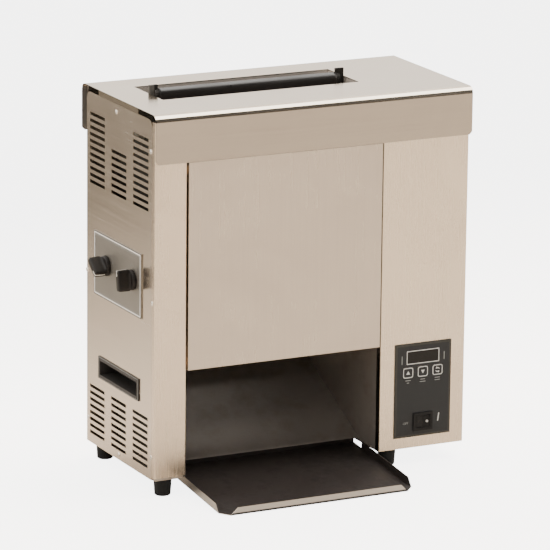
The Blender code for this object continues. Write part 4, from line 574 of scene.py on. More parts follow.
NODE_FINISHES: dict[Finish, tuple[str, ...]] = {
    COVER_SHEET: ("top_cover",),
    PANEL_SHEET: ("front_panel",),
    COLUMN_SHEET: ("left_front_column",),
    HOUSING_SHEET: ("control_housing_front",),
    SHEET_ALONG_Y: ("left_side_panel", "right_side_panel"),
    SHEET_ALONG_X: ("back_panel", "base_pan"),
    CHUTE_SHEET: ("discharge_chute",),
    GALVANISED_IN_PAINTED_SHADE: ("left_bulkhead", "right_bulkhead", "front_cross_rail", "motor_bracket"),
    PLATED: (*both("conveyor_frame", "drive_shaft", "idler_roller", "adjustment_cam"), "motor_output_shaft"),
    DARK_STEEL: (
        *both("drive_sprocket"),
        "chain_idler_sprocket",
        "motor_sprocket",
        "drive_chain",
        "gearmotor",
        "lower_heater",
        "upper_heater",
    ),
    CAST: ("platen",),
    BRONZE: both("left_bearing", "right_bearing"),
    PLASTIC: ("switch_bezel", "switch_paddle", "fan_housing", "fan_rotor", "cord_inlet"),
    HOLD_PLASTIC: ("left_hand_hold", "right_hand_hold"),
    RUBBER: both("left_foot", "right_foot"),
    OVERLAY: ("control_overlay", "raise_key", "lower_key", "mode_key"),
    DIAL_PLATE: ("adjustment_plate",),
    LENS: ("display_lens",),
    BOARD: ("control_board",),
    CERAMIC: ("limit_thermostat",),
}


def grid_faces(rows: int, columns: int, close_rows: bool = False, close_columns: bool = False) -> np.ndarray:
    """Quads between each four neighbours of a grid.

    Args:
        rows: how many rows of points the grid has.
        columns: how many points each row has.
        close_rows: whether the last row joins the first.
        close_columns: whether the last column joins the first.

    Returns:
        Array of point numbers, four to a face.
    """
    row = np.arange(rows if close_rows else rows - 1)
    column = np.arange(columns if close_columns else columns - 1)
    i, j = np.meshgrid(row, column, indexing="ij")
    below, right = (i + 1) % rows, (j + 1) % columns
    corners = (i * columns + j, i * columns + right, below * columns + right, below * columns + j)
    return np.stack(corners, -1).reshape(-1, 4)


def mesh_from_grid(name: str, points: np.ndarray, **closed: bool) -> Piece:
    """Object whose mesh is a grid of points, rows by columns by 3, closed as grid_faces says."""
    return mesh_from_arrays(name, points.reshape(-1, 3), grid_faces(*points.shape[:2], **closed))


def smoothed(mesh: bpy.types.Mesh) -> None:
    """Smooth shading, but for sharp edges."""
    mesh.shade_smooth()
    mesh.set_sharp_from_angle(angle=SHARP_ANGLE)


def linked(name: str, data: bpy.types.ID | None) -> Piece:
    """New object in the scene."""
    thing = bpy.data.objects.new(name, data)
    bpy.context.scene.collection.objects.link(thing)
    return thing


def mesh_from_arrays(name: str, points: np.ndarray, faces: np.ndarray) -> Piece:
    """Object from an array of points and an array of faces with as many corners each.

    Args:
        name: the object's name.
        points: array of points in metres.
        faces: array of point numbers, one row to a face.

    Returns:
        The new object.
    """
    mesh = bpy.data.meshes.new(name)
    count, corners = faces.shape
    mesh.vertices.add(len(points))
    mesh.vertices.foreach_set("co", np.ascontiguousarray(points, dtype=np.float32).ravel())
    mesh.loops.add(count * corners)
    mesh.loops.foreach_set("vertex_index", np.ascontiguousarray(faces, dtype=np.int32).ravel())
    mesh.polygons.add(count)
    mesh.polygons.foreach_set("loop_start", np.arange(count, dtype=np.int32) * corners)
    mesh.update(calc_edges=True)
    mesh.validate()
    thing = linked(name, mesh)
    smoothed(mesh)
    return thing


def merged(thing: Piece, distance: float = 1e-6, capped: bool = False) -> Piece:
    """Merge doubled corners of a piece and turn its faces outwards.

    Args:
        thing: the piece.
        distance: how near two corners are to count as one.
        capped: whether its open ends are closed first.

    Returns:
        The same piece.
    """
    shape = bmesh.new()
    shape.from_mesh(thing.data)
    if capped:
        bmesh.ops.holes_fill(shape, edges=[edge for edge in shape.edges if edge.is_boundary], sides=8)
    bmesh.ops.remove_doubles(shape, verts=shape.verts, dist=distance)
    bmesh.ops.dissolve_degenerate(shape, edges=shape.edges, dist=distance)
    bmesh.ops.recalc_face_normals(shape, faces=shape.faces)
    shape.to_mesh(thing.data)
    shape.free()
    smoothed(thing.data)
    return thing


def plane_points(side: str, depth: float, outline: np.ndarray) -> np.ndarray:
    """Working-frame points on a plane that faces left or to the front.

    Args:
        side: "left" for a plane across X, "front" for one across Y.
        depth: place of the plane along its own axis, in millimetres.
        outline: places along Y on a left plane, or along X on a front plane, and along Z.

    Returns:
        Array of points in millimetres.
    """
    across, up = outline[..., 0], outline[..., 1]
    fixed = np.full_like(across, depth)
    return np.stack((fixed, across, up) if side == "left" else (across, fixed, up), -1)


def band_rows(side: str, face: float, thickness: float, outer: np.ndarray, inner: np.ndarray) -> np.ndarray:
    """Four rows of points: the outer outline at the face and raised off it, then the inner one back.

    Args:
        side: which way the plane faces.
        face: place of the plane, in millimetres.
        thickness: how far the raised rows stand off it.
        outer: outline of the first two rows.
        inner: outline of the last two rows.

    Returns:
        Array of 4 by points by 3, in metres.
    """
    raised = face - thickness
    rows = ((face, outer), (raised, outer), (raised, inner), (face, inner))
    return at(np.stack([plane_points(side, depth, line) for depth, line in rows]))


def rounded_loop(centre: Pair, size: Pair, radius: float, steps: int = 6) -> np.ndarray:
    """Outline of a rectangle with round corners: each corner is a quarter circle of the radius.

    Args:
        centre: middle of the rectangle.
        size: its width and height.
        radius: radius of its corners.
        steps: steps in each quarter circle.

    Returns:
        Array of points, going round once.
    """
    half = np.array(size) / 2 - radius
    turn = np.linspace(0.0, np.pi / 2, steps + 1)
    quarters = []
    for k, (sx, sy) in enumerate(((1, 1), (-1, 1), (-1, -1), (1, -1))):
        angle = turn + k * np.pi / 2
        corner = np.array(centre) + half * (sx, sy)
        quarters.append(corner + radius * np.stack((np.cos(angle), np.sin(angle)), -1))
    return np.concatenate(quarters)


def rounded_ring(
    name: str, side: str, face: float, thickness: float, centre: Pair, size: Pair, band: Pair, radii: Pair
) -> Piece:
    """Flat ring between two rounded rectangles, standing a little off a plane.

    Args:
        name: the piece's name.
        side: which way the plane faces, "left" or "front".
        face: place of the plane, in millimetres.
        thickness: how far the ring stands off it.
        centre: middle of both rectangles.
        size: width and height that the ring is set in from.
        band: how far it is set in, and its own width.
        radii: radius of its outer and inner corners.

    Returns:
        The piece.
    """
    insets = (band[0], band[0] + band[1])
    outer, inner = (
        rounded_loop(centre, (size[0] - 2 * inset, size[1] - 2 * inset), radius)
        for inset, radius in zip(insets, radii)
    )
    rows = band_rows(side, face, thickness, outer, inner)
    return merged(mesh_from_grid(name, rows, close_rows=True, close_columns=True))


def raised_shape(name: str, side: str, face: float, thickness: float, outline: np.ndarray) -> Piece:
    """Flat filled shape standing a little off a plane: the outline and its middle, front and back.

    Args:
        name: the piece's name.
        side: which way the plane faces.
        face: place of the plane, in millimetres.
        thickness: how far the shape stands off it.
        outline: its outline, which every point of it can be seen from its middle.

    Returns:
        The piece.
    """
    middle = np.broadcast_to(outline.mean(axis=0), outline.shape)
    rows = np.roll(band_rows(side, face, thickness, outline, middle), 1, axis=0)
    return merged(mesh_from_grid(name, rows, close_columns=True))


def painted(thing: Piece, finish: Finish) -> Piece:
    """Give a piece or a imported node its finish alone."""
    thing.data.materials.clear()
    thing.data.materials.append(finish.material())
    LOG.info("%s has the finish %s", thing.name, finish.name)
    return thing


def place(thing: Piece, finish: Finish, body: str) -> Piece:
    """Give a piece its finish, its body and its material slot, and report it.

    Args:
        thing: the piece.
        finish: its finish.
        body: the body that it rides on.

    Returns:
        The same piece.
    """
    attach(painted(thing, finish), body)
    LOG.info("%s rides on %s", thing.name, body)
    return thing


@dataclass
class ScrewHeads:
    """Domed heads with a cross recess, set on one panel."""

    name: str
    axis: Vector
    places: tuple[tuple[float, float, float], ...]
    radius: float = 3.4
    height: float = 1.5
    recess: float = 0.75
    arm: float = 0.75
    reach: float = 2.1
    sides: int = 48
    rings: int = 15
    doming: float = 0.82
    arm_fade: float = 0.1
    reach_fade: float = 0.2

    def head(self) -> tuple[np.ndarray, np.ndarray]:
        """Head as a height over a disc, less a cross.

        The height falls off as the root of 1 less the doming times the squared share of the radius.
        Within an arm's half width of either line of the cross, and nearer the middle than its reach,
        the recess is taken off, faded over a short way at both limits.

        Returns:
            Points about the local Z axis in millimetres, and faces.
        """
        share = np.concatenate(([0.0], np.linspace(0.06, 1.0, self.rings), [1.0, 0.0]))
        angle = np.linspace(0.0, 2.0 * np.pi, self.sides, endpoint=False)
        r = share[:, None] * self.radius
        x, y = r * np.cos(angle), r * np.sin(angle)
        dome = self.height * np.sqrt(np.clip(1.0 - self.doming * share[:, None] ** 2, 0.0, 1.0))
        near = np.clip((self.arm / 2 - np.minimum(np.abs(x), np.abs(y))) / self.arm_fade + 0.5, 0.0, 1.0)
        within = np.clip((self.reach - r) / self.reach_fade + 0.5, 0.0, 1.0)
        z = dome - self.recess * near * within
        z[-2:] = 0.0
        points = np.stack((x, y, z), -1)[::-1]
        return points.reshape(-1, 3), grid_faces(len(share), self.sides, close_columns=True)

    def build(self) -> Piece:
        """Every head of the panel in one mesh, turned to face along the axis."""
        points, faces = self.head()
        turn = np.array(self.axis.to_track_quat("Z", "Y").to_matrix())
        everywhere = (points @ turn.T)[None] + np.array(self.places)[:, None]
        shift = np.arange(len(self.places))[:, None, None] * len(points)
        thing = mesh_from_arrays(self.name, at(everywhere.reshape(-1, 3)), (faces[None] + shift).reshape(-1, 4))
        return place(merged(thing), SCREW_STEEL, "housing")


@dataclass
class AdjustmentKnob:
    """Bar knob with a round scalloped skirt, and the painted pointer on its bar."""

    name: str
    node: str
    body: str
    axis_y: float
    angle: float
    axis_z: float = KNOB_AXIS_Z
    base_x: float = -2.4
    depth: float = 24.1
    skirt_radius: float = 15.3
    skirt_depth: float = 5.6
    bar_length: float = 31.6
    bar_thickness: float = 11.2
    sides: int = 144
    crests: int = 30
    line_half: float = 0.85
    line_thickness: float = 0.10

    def section(self, along: float, size: tuple[float, float], power: float, scallop: float) -> np.ndarray:
        """Ring at one place along the axis.

        A superellipse: cos and sin of the angle, each raised to 2 over the power, times the half
        length and half thickness. The scallop takes off a small wave round it.

        Args:
            along: distance from the base towards the outer end.
            size: half length and half thickness.
            power: 2 for an ellipse, more for a squarer one.
            scallop: depth of the wave, in millimetres.

        Returns:
            Array of points in the knob's own frame.
        """
        t = np.linspace(0.0, 2.0 * np.pi, self.sides, endpoint=False)
        wave = 1.0 - scallop * (0.5 + 0.5 * np.cos(self.crests * t)) / max(size)
        u = size[0] * np.sign(np.cos(t)) * np.abs(np.cos(t)) ** (2.0 / power) * wave
        v = size[1] * np.sign(np.sin(t)) * np.abs(np.sin(t)) ** (2.0 / power) * wave
        return np.stack((np.full_like(t, -along), v, u), -1)

    def placed(self, points: np.ndarray) -> np.ndarray:
        """Points of the knob's own frame turned about its axis and set on the plate."""
        turn = np.array(Matrix.Rotation(self.angle, 3, "X"))
        return at(points @ turn.T + (self.base_x, self.axis_y, self.axis_z))

    def build(self) -> None:
        """Knob body from a stack of sections, then its pointer."""
        r, bar, thick = self.skirt_radius, self.bar_length / 2, self.bar_thickness / 2
        d, s = self.depth, self.skirt_depth
        stations = (
            (0.0, (0.01, 0.01), 2.0, 0.0),
            (0.0, (r - 0.6, r - 0.6), 2.0, 0.0),
            (0.5, (r, r), 2.0, 0.5),
            (s - 1.2, (r - 0.3, r - 0.3), 2.0, 0.5),
            (s - 0.3, (r - 1.0, r - 1.0), 2.0, 0.2),
            (s, (r - 2.0, r - 2.0), 2.0, 0.0),
            (s + 0.2, (bar, thick + 2.4), 2.6, 0.0),
            (s + 0.9, (bar, thick + 0.9), 4.0, 0.0),
            (s + 2.4, (bar, thick + 0.2), 6.0, 0.0),
            (s + 5.0, (bar, thick), 7.0, 0.0),
            (d - 2.2, (bar - 0.3, thick - 0.3), 7.0, 0.0),
            (d - 0.9, (bar - 0.7, thick - 0.6), 6.0, 0.0),
            (d - 0.2, (bar - 1.7, thick - 1.5), 5.0, 0.0),
            (d, (bar - 3.2, thick - 2.8), 4.0, 0.0),
            (d, (0.01, 0.01), 2.0, 0.0),
        )
        rings = np.stack([self.section(*station) for station in stations])
        shape = merged(mesh_from_grid(self.name, self.placed(rings), close_columns=True), 3e-5)
        place(shape, KNOB_PLASTIC, self.body)
        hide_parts(self.node)
        self.pointer()

    def pointer(self) -> None:
        """Painted line along the bar: a flat strip carried over the bar's end and onto its face."""
        bar, s, d = self.bar_length / 2, self.skirt_depth, self.depth
        path = np.array(
            (
                (s + 3.0, bar + 0.02),
                (s + 8.0, bar + 0.05),
                (d - 2.3, bar - 0.22),
                (d - 0.8, bar - 0.55),
                (d - 0.10, bar - 1.7),
                (d + 0.10, bar - 3.2),
                (d + 0.12, bar - 9.0),
            )
        )
        step = np.gradient(path, axis=0)
        step /= np.linalg.norm(step, axis=1)[:, None]
        outward = np.stack((-step[:, 1], step[:, 0]), -1)
        outward *= np.sign((outward @ np.array((0.6, 0.8)))[:, None])
        half, thickness = self.line_half, self.line_thickness
        rows = []
        for lift, side in ((-thickness, -half), (thickness, -half), (thickness, half), (-thickness, half)):
            line = path + outward * lift
            rows.append(np.stack((-line[:, 0], np.full(len(line), side), line[:, 1]), -1))
        strip = mesh_from_grid(f"{self.name}_pointer", self.placed(np.stack(rows)), close_rows=True)
        place(merged(strip, capped=True), POINTER_PAINT, self.body)


@dataclass
class DialPlate:
    """Lines along the adjustment plate's edge, with a painted shadow and a painted highlight there, and printed
    scale marks.
    """

    centre: Pair = (128.0, 281.0)
    size: Pair = (164.7, 96.2)
    face: float = -1.8
    ink: float = 0.12
    axes: tuple[Pair, Pair] = ((74.0, -8.0), (164.0, 128.0))
    axis_z: float = KNOB_AXIS_Z
    travel: float = 60.0
    marks: int = 9
    mark_radii: tuple[float, float, float] = (19.5, 22.0, 23.5)
    mark_half: float = 0.35

    def build(self) -> None:
        """Dark line at the plate's edge for the edge and its painted shadow, a pale painted highlight inside it for
        a bright bevelled edge, a thin dark line further in, and a scale round each knob.
        """
        for name, band, finish in (
            # Dark line for the plate's edge and its painted shadow.
            ("dial_plate_edge_and_shadow_line", (0.15, 1.15), OVERLAY_EDGE),
            # Pale painted highlight standing in for a bright bevelled edge.
            ("dial_plate_border_highlight", (1.4, 2.2), PLATE_EDGE_HIGHLIGHT),
            ("dial_plate_inner_line", (5.2, 0.6), GREY_INK),
        ):
            ring = rounded_ring(name, "left", self.face, self.ink, self.centre, self.size, band, (1.5, 0.8))
            place(ring, finish, "housing")
        for end, (y, middle_angle) in zip(ENDS, self.axes):
            self.scale(f"{end}_knob_scale", y, middle_angle)

    def scale(self, name: str, y: float, middle_angle: float) -> None:
        """Short marks spread over the knob's travel, longer at the middle and the ends.

        Each mark is a thin box: its four corners lie at an inner and an outer radius, half a width to
        either side of its own direction.

        Args:
            name: the piece's name.
            y: place of the knob's axis.
            middle_angle: way that the pointer looks at rest, in degrees.
        """
        turn = np.radians(np.linspace(-self.travel, self.travel, self.marks) + middle_angle)
        near, short, long = self.mark_radii
        inner = np.full(self.marks, near)
        outer = np.where(np.arange(self.marks) % 4 == 0, long, short)
        half = self.mark_half
        direction = np.stack((-np.sin(turn), np.cos(turn)), -1)
        sideways = np.stack((np.cos(turn), np.sin(turn)), -1)
        corners = np.stack(
            [
                np.array((y, self.axis_z)) + direction * radius[:, None] + sideways * side
                for radius, side in ((inner, -half), (outer, -half), (outer, half), (inner, half))
            ],
            axis=1,
        )
        levels = [plane_points("left", depth, corners) for depth in (self.face, self.face - self.ink)]
        points = np.concatenate(levels, axis=1)
        box = np.array(((0, 1, 2, 3), (4, 5, 6, 7), (0, 1, 5, 4), (1, 2, 6, 5), (2, 3, 7, 6), (3, 0, 4, 7)))
        faces = box[None] + np.arange(self.marks)[:, None, None] * 8
        thing = mesh_from_arrays(name, at(points.reshape(-1, 3)), faces.reshape(-1, 4))
        place(merged(thing), GREY_INK, "housing")


@dataclass
class HoldTrim:
    """Thin pale line round the mouth of the left and right hand holds."""

    centre: Pair = (124.75, 124.3)
    size: Pair = (141.0, 33.3)
    band: Pair = (0.9, 0.5)
    left_face: float = -1.8
    right_face: float = 509.2
    ink: float = 0.12

    def build(self) -> None:
        """One ring on each rim; the right one is the left one carried to the other panel."""
        for name, face, ink in (
            ("left_hold_trim", self.left_face, self.ink),
            ("right_hold_trim", self.right_face, -self.ink),
        ):
            ring = rounded_ring(name, "left", face, ink, self.centre, self.size, self.band, (1.2, 0.8))
            place(ring, GREY_INK, "housing")


@dataclass
class OverlayPrint:
    """Printed lines and generic signs on the control overlay and the keys, and beside the rocker."""

    overlay_centre: Pair = (437.4, 88.7)
    overlay_size: Pair = (93.6, 143.4)
    overlay_face: float = 1.25
    key_face: float = 0.95
    ink: float = 0.06
    display_centre: Pair = (436.8, 139.1)
    display_size: Pair = (54.6, 20.8)
    key_x: tuple[float, float, float] = (412.4, 437.05, 461.7)
    key_z: float = 116.0
    key_size: Pair = (17.5, 16.4)
    keys: tuple[str, str, str] = ("raise_key", "lower_key", "mode_key")
    label_widths: tuple[Pair, Pair, Pair] = ((9.0, 4.0), (8.0, 10.0), (9.0, 9.0))
    label_top: float = 104.2
    label_step: float = 3.6
    label_height: float = 1.1

    def build(self) -> None:
        """Border, display frame, key outlines, key signs and the lines and word beside them."""
        border = (self.overlay_centre, self.overlay_size, (0.3, 3.2), (1.0, 0.8))
        self.ring("overlay_border", self.overlay_face, border, OVERLAY_EDGE, "housing")
        frame_line = (self.display_centre, self.display_size, (0.1, 1.2), (0.6, 0.4))
        self.ring("display_frame_line", self.key_face, frame_line, WHITE_INK, "housing")
        for body, x in zip(self.keys, self.key_x):
            outline = ((x, self.key_z), self.key_size, (0.4, 1.2), (3.4, 2.3))
            self.ring(f"{body}_outline", self.key_face, outline, WHITE_INK, body)
        self.arrow("raise_arrow", "raise_key", self.key_x[0], 1.0)
        self.arrow("lower_arrow", "lower_key", self.key_x[1], -1.0)
        self.cycle_sign("mode_key", self.key_x[2])
        for key, x, widths in zip(self.keys, self.key_x, self.label_widths):
            for row, wide in enumerate(widths):
                name = f"{key.removesuffix('_key')}_label_line_{row}"
                self.dash(name, (x, self.label_top - self.label_step * row), (wide, self.label_height))
        self.dash("left_guide_line", (402.0, 136.0), (1.3, 13.0))
        self.dash("right_guide_line", (472.5, 137.0), (1.3, 12.0))
        self.word("rocker_word_off", "OFF", (409.5, 36.8), 5.2)
        self.dash("rocker_on_stroke", (464.5, 43.0), (1.7, 12.5), 8.0, WHITE_INK)

    def ring(self, name: str, face: float, form: tuple[Pair, Pair, Pair, Pair], finish: Finish, body: str) -> None:
        """Printed ring: its form is the centre, size, band and radii that rounded_ring takes."""
        place(rounded_ring(name, "front", face, self.ink, *form), finish, body)

    def dash(self, name: str, middle: Pair, size: Pair, lean: float = 0.0, finish: Finish = GREY_INK) -> None:
        """Short printed line in place of a word: a rounded rectangle, turned by its lean.

        Args:
            name: the piece's name.
            middle: its middle across and up.
            size: its width and height.
            lean: how far it leans to the right, in degrees.
            finish: its ink.
        """
        outline = rounded_loop((0.0, 0.0), size, 0.45, 3)
        turn = np.array(Matrix.Rotation(-math.radians(lean), 2))
        shape = raised_shape(name, "front", self.overlay_face, self.ink, outline @ turn.T + np.array(middle))
        place(shape, finish, "housing")

    def arrow(self, name: str, body: str, x: float, way: float) -> None:
        """Filled triangle that points up or down: three corners, each side split in four."""
        corners = np.array(((x - 3.1, -2.3), (x + 3.1, -2.3), (x, 3.0)))
        corners[:, 1] = self.key_z + way * corners[:, 1]
        share = np.linspace(0.0, 1.0, 4, endpoint=False)[:, None]
        sides = [a + share * (b - a) for a, b in zip(corners, np.roll(corners, -1, axis=0))]
        shape = raised_shape(name, "front", self.key_face, self.ink, np.concatenate(sides))
        place(shape, WHITE_INK, body)

    def cycle_sign(self, body: str, x: float) -> None:
        """Two arcs about one centre, each of which widens to a head, the usual sign for changing over."""
        steps, head, radius, sweep = 14, 5, 3.1, 130.0
        for k, first in enumerate((20.0, 200.0)):
            t = np.radians(np.linspace(first, first + sweep, steps))
            width = np.full(steps, 0.55)
            width[-head:] = np.linspace(1.7, 0.05, head)
            direction = np.stack((np.cos(t), np.sin(t)), -1)
            outer, inner = (
                np.array((x, self.key_z)) + direction * (radius + sign * width)[:, None] for sign in (1, -1)
            )
            rows = band_rows("front", self.key_face, self.ink, outer, inner)
            arc = mesh_from_grid(f"mode_sign_{k}", rows, close_rows=True)
            place(merged(arc, capped=True), WHITE_INK, body)

    def word(self, name: str, text: str, middle: Pair, size: float) -> None:
        """Generic word on the overlay, from flat letters made a mesh with a little thickness.

        Args:
            name: the piece's name.
            text: the word.
            middle: middle of the word across and up.
            size: size of its letters.
        """
        curve = bpy.data.curves.new(name, "FONT")
        curve.body = text
        curve.size = size * MILLIMETRE
        curve.extrude = self.ink * MILLIMETRE / 2
        curve.align_x = "CENTER"
        curve.resolution_u = 3
        letters = linked(f"{name}_letters", curve)
        mesh = bpy.data.meshes.new_from_object(letters.evaluated_get(bpy.context.evaluated_depsgraph_get()))
        bpy.data.objects.remove(letters)
        bpy.data.curves.remove(curve)
        where = Vector(at((middle[0], self.overlay_face - self.ink / 2, middle[1])))
        mesh.transform(Matrix.Translation(where) @ Matrix.Rotation(math.pi / 2, 4, "X"))
        place(linked(name, mesh), GREY_INK, "housing")


@dataclass
class RockerMarks:
    """Ring and bar on the rocker's two halves, for off and on."""

    centre_x: float = 438.0
    centre_z: float = 39.4
    axis_y: float = 2.65
    rest_angle: float = math.radians(-8.0)
    edge_lift: float = 4.2
    valley: float = 2.2
    half_width: float = 10.65
    ink: float = 0.08
    steps: int = 28

    def on_paddle(self, across: np.ndarray, up: np.ndarray, lift: float) -> np.ndarray:
        """Points on the paddle's face.

        The face falls evenly from each edge to the valley line; a point at a share s of the half
        width lies at the valley plus s times the rest of the edge's height, then turns about the axis.

        Args:
            across: places along the paddle from its middle.
            up: places along Z from its middle.
            lift: distance off the face.

        Returns:
            Array of points in millimetres.
        """
        share = np.abs(across) / self.half_width
        forward = self.valley + share * (self.edge_lift - self.valley) + lift
        sine, cosine = math.sin(self.rest_angle), math.cos(self.rest_angle)
        x = across * cosine + forward * sine
        y = across * sine - forward * cosine
        return np.stack((self.centre_x + x, self.axis_y + y, self.centre_z + up), -1)

    def build(self) -> None:
        """Painted ring on the right half and bare bar on the left half, both as closed flat bands."""
        t = np.linspace(0.0, 2.0 * np.pi, self.steps, endpoint=False)
        for name, across, size, width, finish in (
            ("rocker_off_ring", 6.6, (1.9, 1.9), 1.2, WHITE_INK),
            ("rocker_on_bar", -6.6, (0.75, 2.6), 0.74, KNOB_PLASTIC),
        ):
            rows = []
            for shrink, lift in ((0.0, 0.0), (0.0, self.ink), (width, self.ink), (width, 0.0)):
                u = across + (size[0] - shrink) * np.cos(t)
                v = (size[1] - shrink) * np.sin(t)
                rows.append(self.on_paddle(u, v, lift))
            ring = mesh_from_grid(name, at(np.stack(rows)), close_rows=True, close_columns=True)
            place(merged(ring, 1e-7), finish, "switch_paddle")


@dataclass
class ReleaseCloth:
    """Release sheet of coated glass cloth, hung over the platen's round top."""

    left: float = 70.5
    right: float = 358.5
    middle_y: float = 147.0
    top_z: float = 537.5
    bottom_z: float = 186.0
    radius: float = 8.55
    thickness: float = 0.45
    slack: float = 0.12
    columns: int = 80
    straight_steps: int = 60
    bend_steps: int = 24
    broad_wave: Pair = (31.0, 37.0)
    fine_wave: Pair = (12.0, 55.0)
    fade_reach: float = 6.0

    def build(self) -> None:
        """Grid carried along the path up one face, round the top and down the other.

        The path is straight, then half a circle, then straight. The cloth lies off it by a gentle
        wave across and along, of at most the slack, which fades to nothing on the round top.
        """
        straight = self.top_z - self.bottom_z
        half_turn = math.pi * self.radius
        length = 2 * straight + half_turn
        s = np.concatenate(
            (
                np.linspace(0.0, straight, self.straight_steps, endpoint=False),
                np.linspace(straight, straight + half_turn, self.bend_steps + 1),
                np.linspace(straight + half_turn, length, self.straight_steps + 1)[1:],
            )
        )
        x = np.linspace(self.left, self.right, self.columns)
        turn = np.clip((s - straight) / self.radius, 0.0, math.pi)
        rise = np.minimum(s, straight) - np.maximum(s - straight - half_turn, 0.0)
        broad = np.sin(x[None] / self.broad_wave[0]) * np.sin(s[:, None] / self.broad_wave[1])
        fine = np.sin(x[None] / self.fine_wave[0] + s[:, None] / self.fine_wave[1])
        ripple = broad + 0.5 * fine
        off_bend = np.abs(s - length / 2) / (half_turn / 2) - 1.0
        fade = np.clip(off_bend, 0.0, self.fade_reach)[:, None] / self.fade_reach
        reach = self.radius + self.slack * ripple * fade / 1.5
        y = self.middle_y - reach * np.cos(turn)[:, None]
        z = self.bottom_z + rise[:, None] + reach * np.sin(turn)[:, None]
        points = np.stack((np.broadcast_to(x[None], y.shape), y, z), -1)
        sheet = mesh_from_grid("release_cloth", at(points))
        self.lay_out(sheet, s, x)
        solid = sheet.modifiers.new("thickness", "SOLIDIFY")
        solid.thickness = self.thickness * MILLIMETRE
        solid.offset = 0.0
        place(sheet, CLOTH, "housing")
        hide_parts("release_sheet")

    @staticmethod
    def lay_out(sheet: Piece, s: np.ndarray, x: np.ndarray) -> None:
        """UV map in metres along and across the cloth, so that its weave follows it."""
        layer = sheet.data.uv_layers.new(name="cloth")
        corners = np.empty(len(sheet.data.loops), dtype=np.int32)
        sheet.data.loops.foreach_get("vertex_index", corners)
        row, column = np.divmod(corners, len(x))
        uv = np.stack((x[column], s[row]), -1) * MILLIMETRE
        layer.data.foreach_set("uv", uv.astype(np.float32).ravel())


@dataclass
class RibbedBelt:
    """Conveyor belt with low cross ribs, in place of the plain loop."""

    name: str
    node: str
    body: str
    axis_y: float
    left: float = 62.0
    right: float = 361.5
    low_z: float = 190.0
    high_z: float = 500.0
    outer: float = 16.05
    inner: float = 14.65
    rib: float = 0.5
    rib_count: int = 66
    steps_per_rib: int = 8
    steepness: float = 2.0

    def loop(self, radius: np.ndarray, s: np.ndarray) -> np.ndarray:
        """Places on the loop round both rollers, at a distance along its middle line.

        The loop is a half turn over the top, a straight run down, a half turn below and a straight
        run up. The radius is added along the outward normal.

        Args:
            radius: distance from the line between the two rollers' axes.
            s: distance along the loop, from 0 to 1.

        Returns:
            Array of (y, z).
        """
        run = self.high_z - self.low_z
        bend = math.pi * self.outer
        total = 2 * run + 2 * bend
        d = s * total
        first = np.clip(d / bend, 0.0, 1.0)
        second = np.clip((d - bend - run) / bend, 0.0, 1.0)
        angle = math.pi * (first + second)
        down = np.clip(d - bend, 0.0, run)
        up = np.clip(d - 2 * bend - run, 0.0, run)
        z_axis = self.high_z - down + up
        return np.stack((self.axis_y + radius * np.cos(angle), z_axis + radius * np.sin(angle)), -1)

    def build(self) -> None:
        """Outer face with ribs, inner face plain, closed at both edges into one ring section."""
        s = np.linspace(0.0, 1.0, self.rib_count * self.steps_per_rib, endpoint=False)
        wave = np.clip(np.cos(2 * np.pi * self.rib_count * s) * self.steepness, 0.0, 1.0)
        outside = self.loop(self.outer - self.rib * (1.0 - wave), s)
        inside = self.loop(np.full_like(s, self.inner), s)
        rows = []
        for line, x in ((outside, self.left), (outside, self.right), (inside, self.right), (inside, self.left)):
            rows.append(np.stack((np.full(len(s), x), line[:, 0], line[:, 1]), -1))
        belt = mesh_from_grid(self.name, at(np.stack(rows)), close_rows=True, close_columns=True)
        place(merged(belt), SILICONE, self.body)
        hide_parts(self.node)


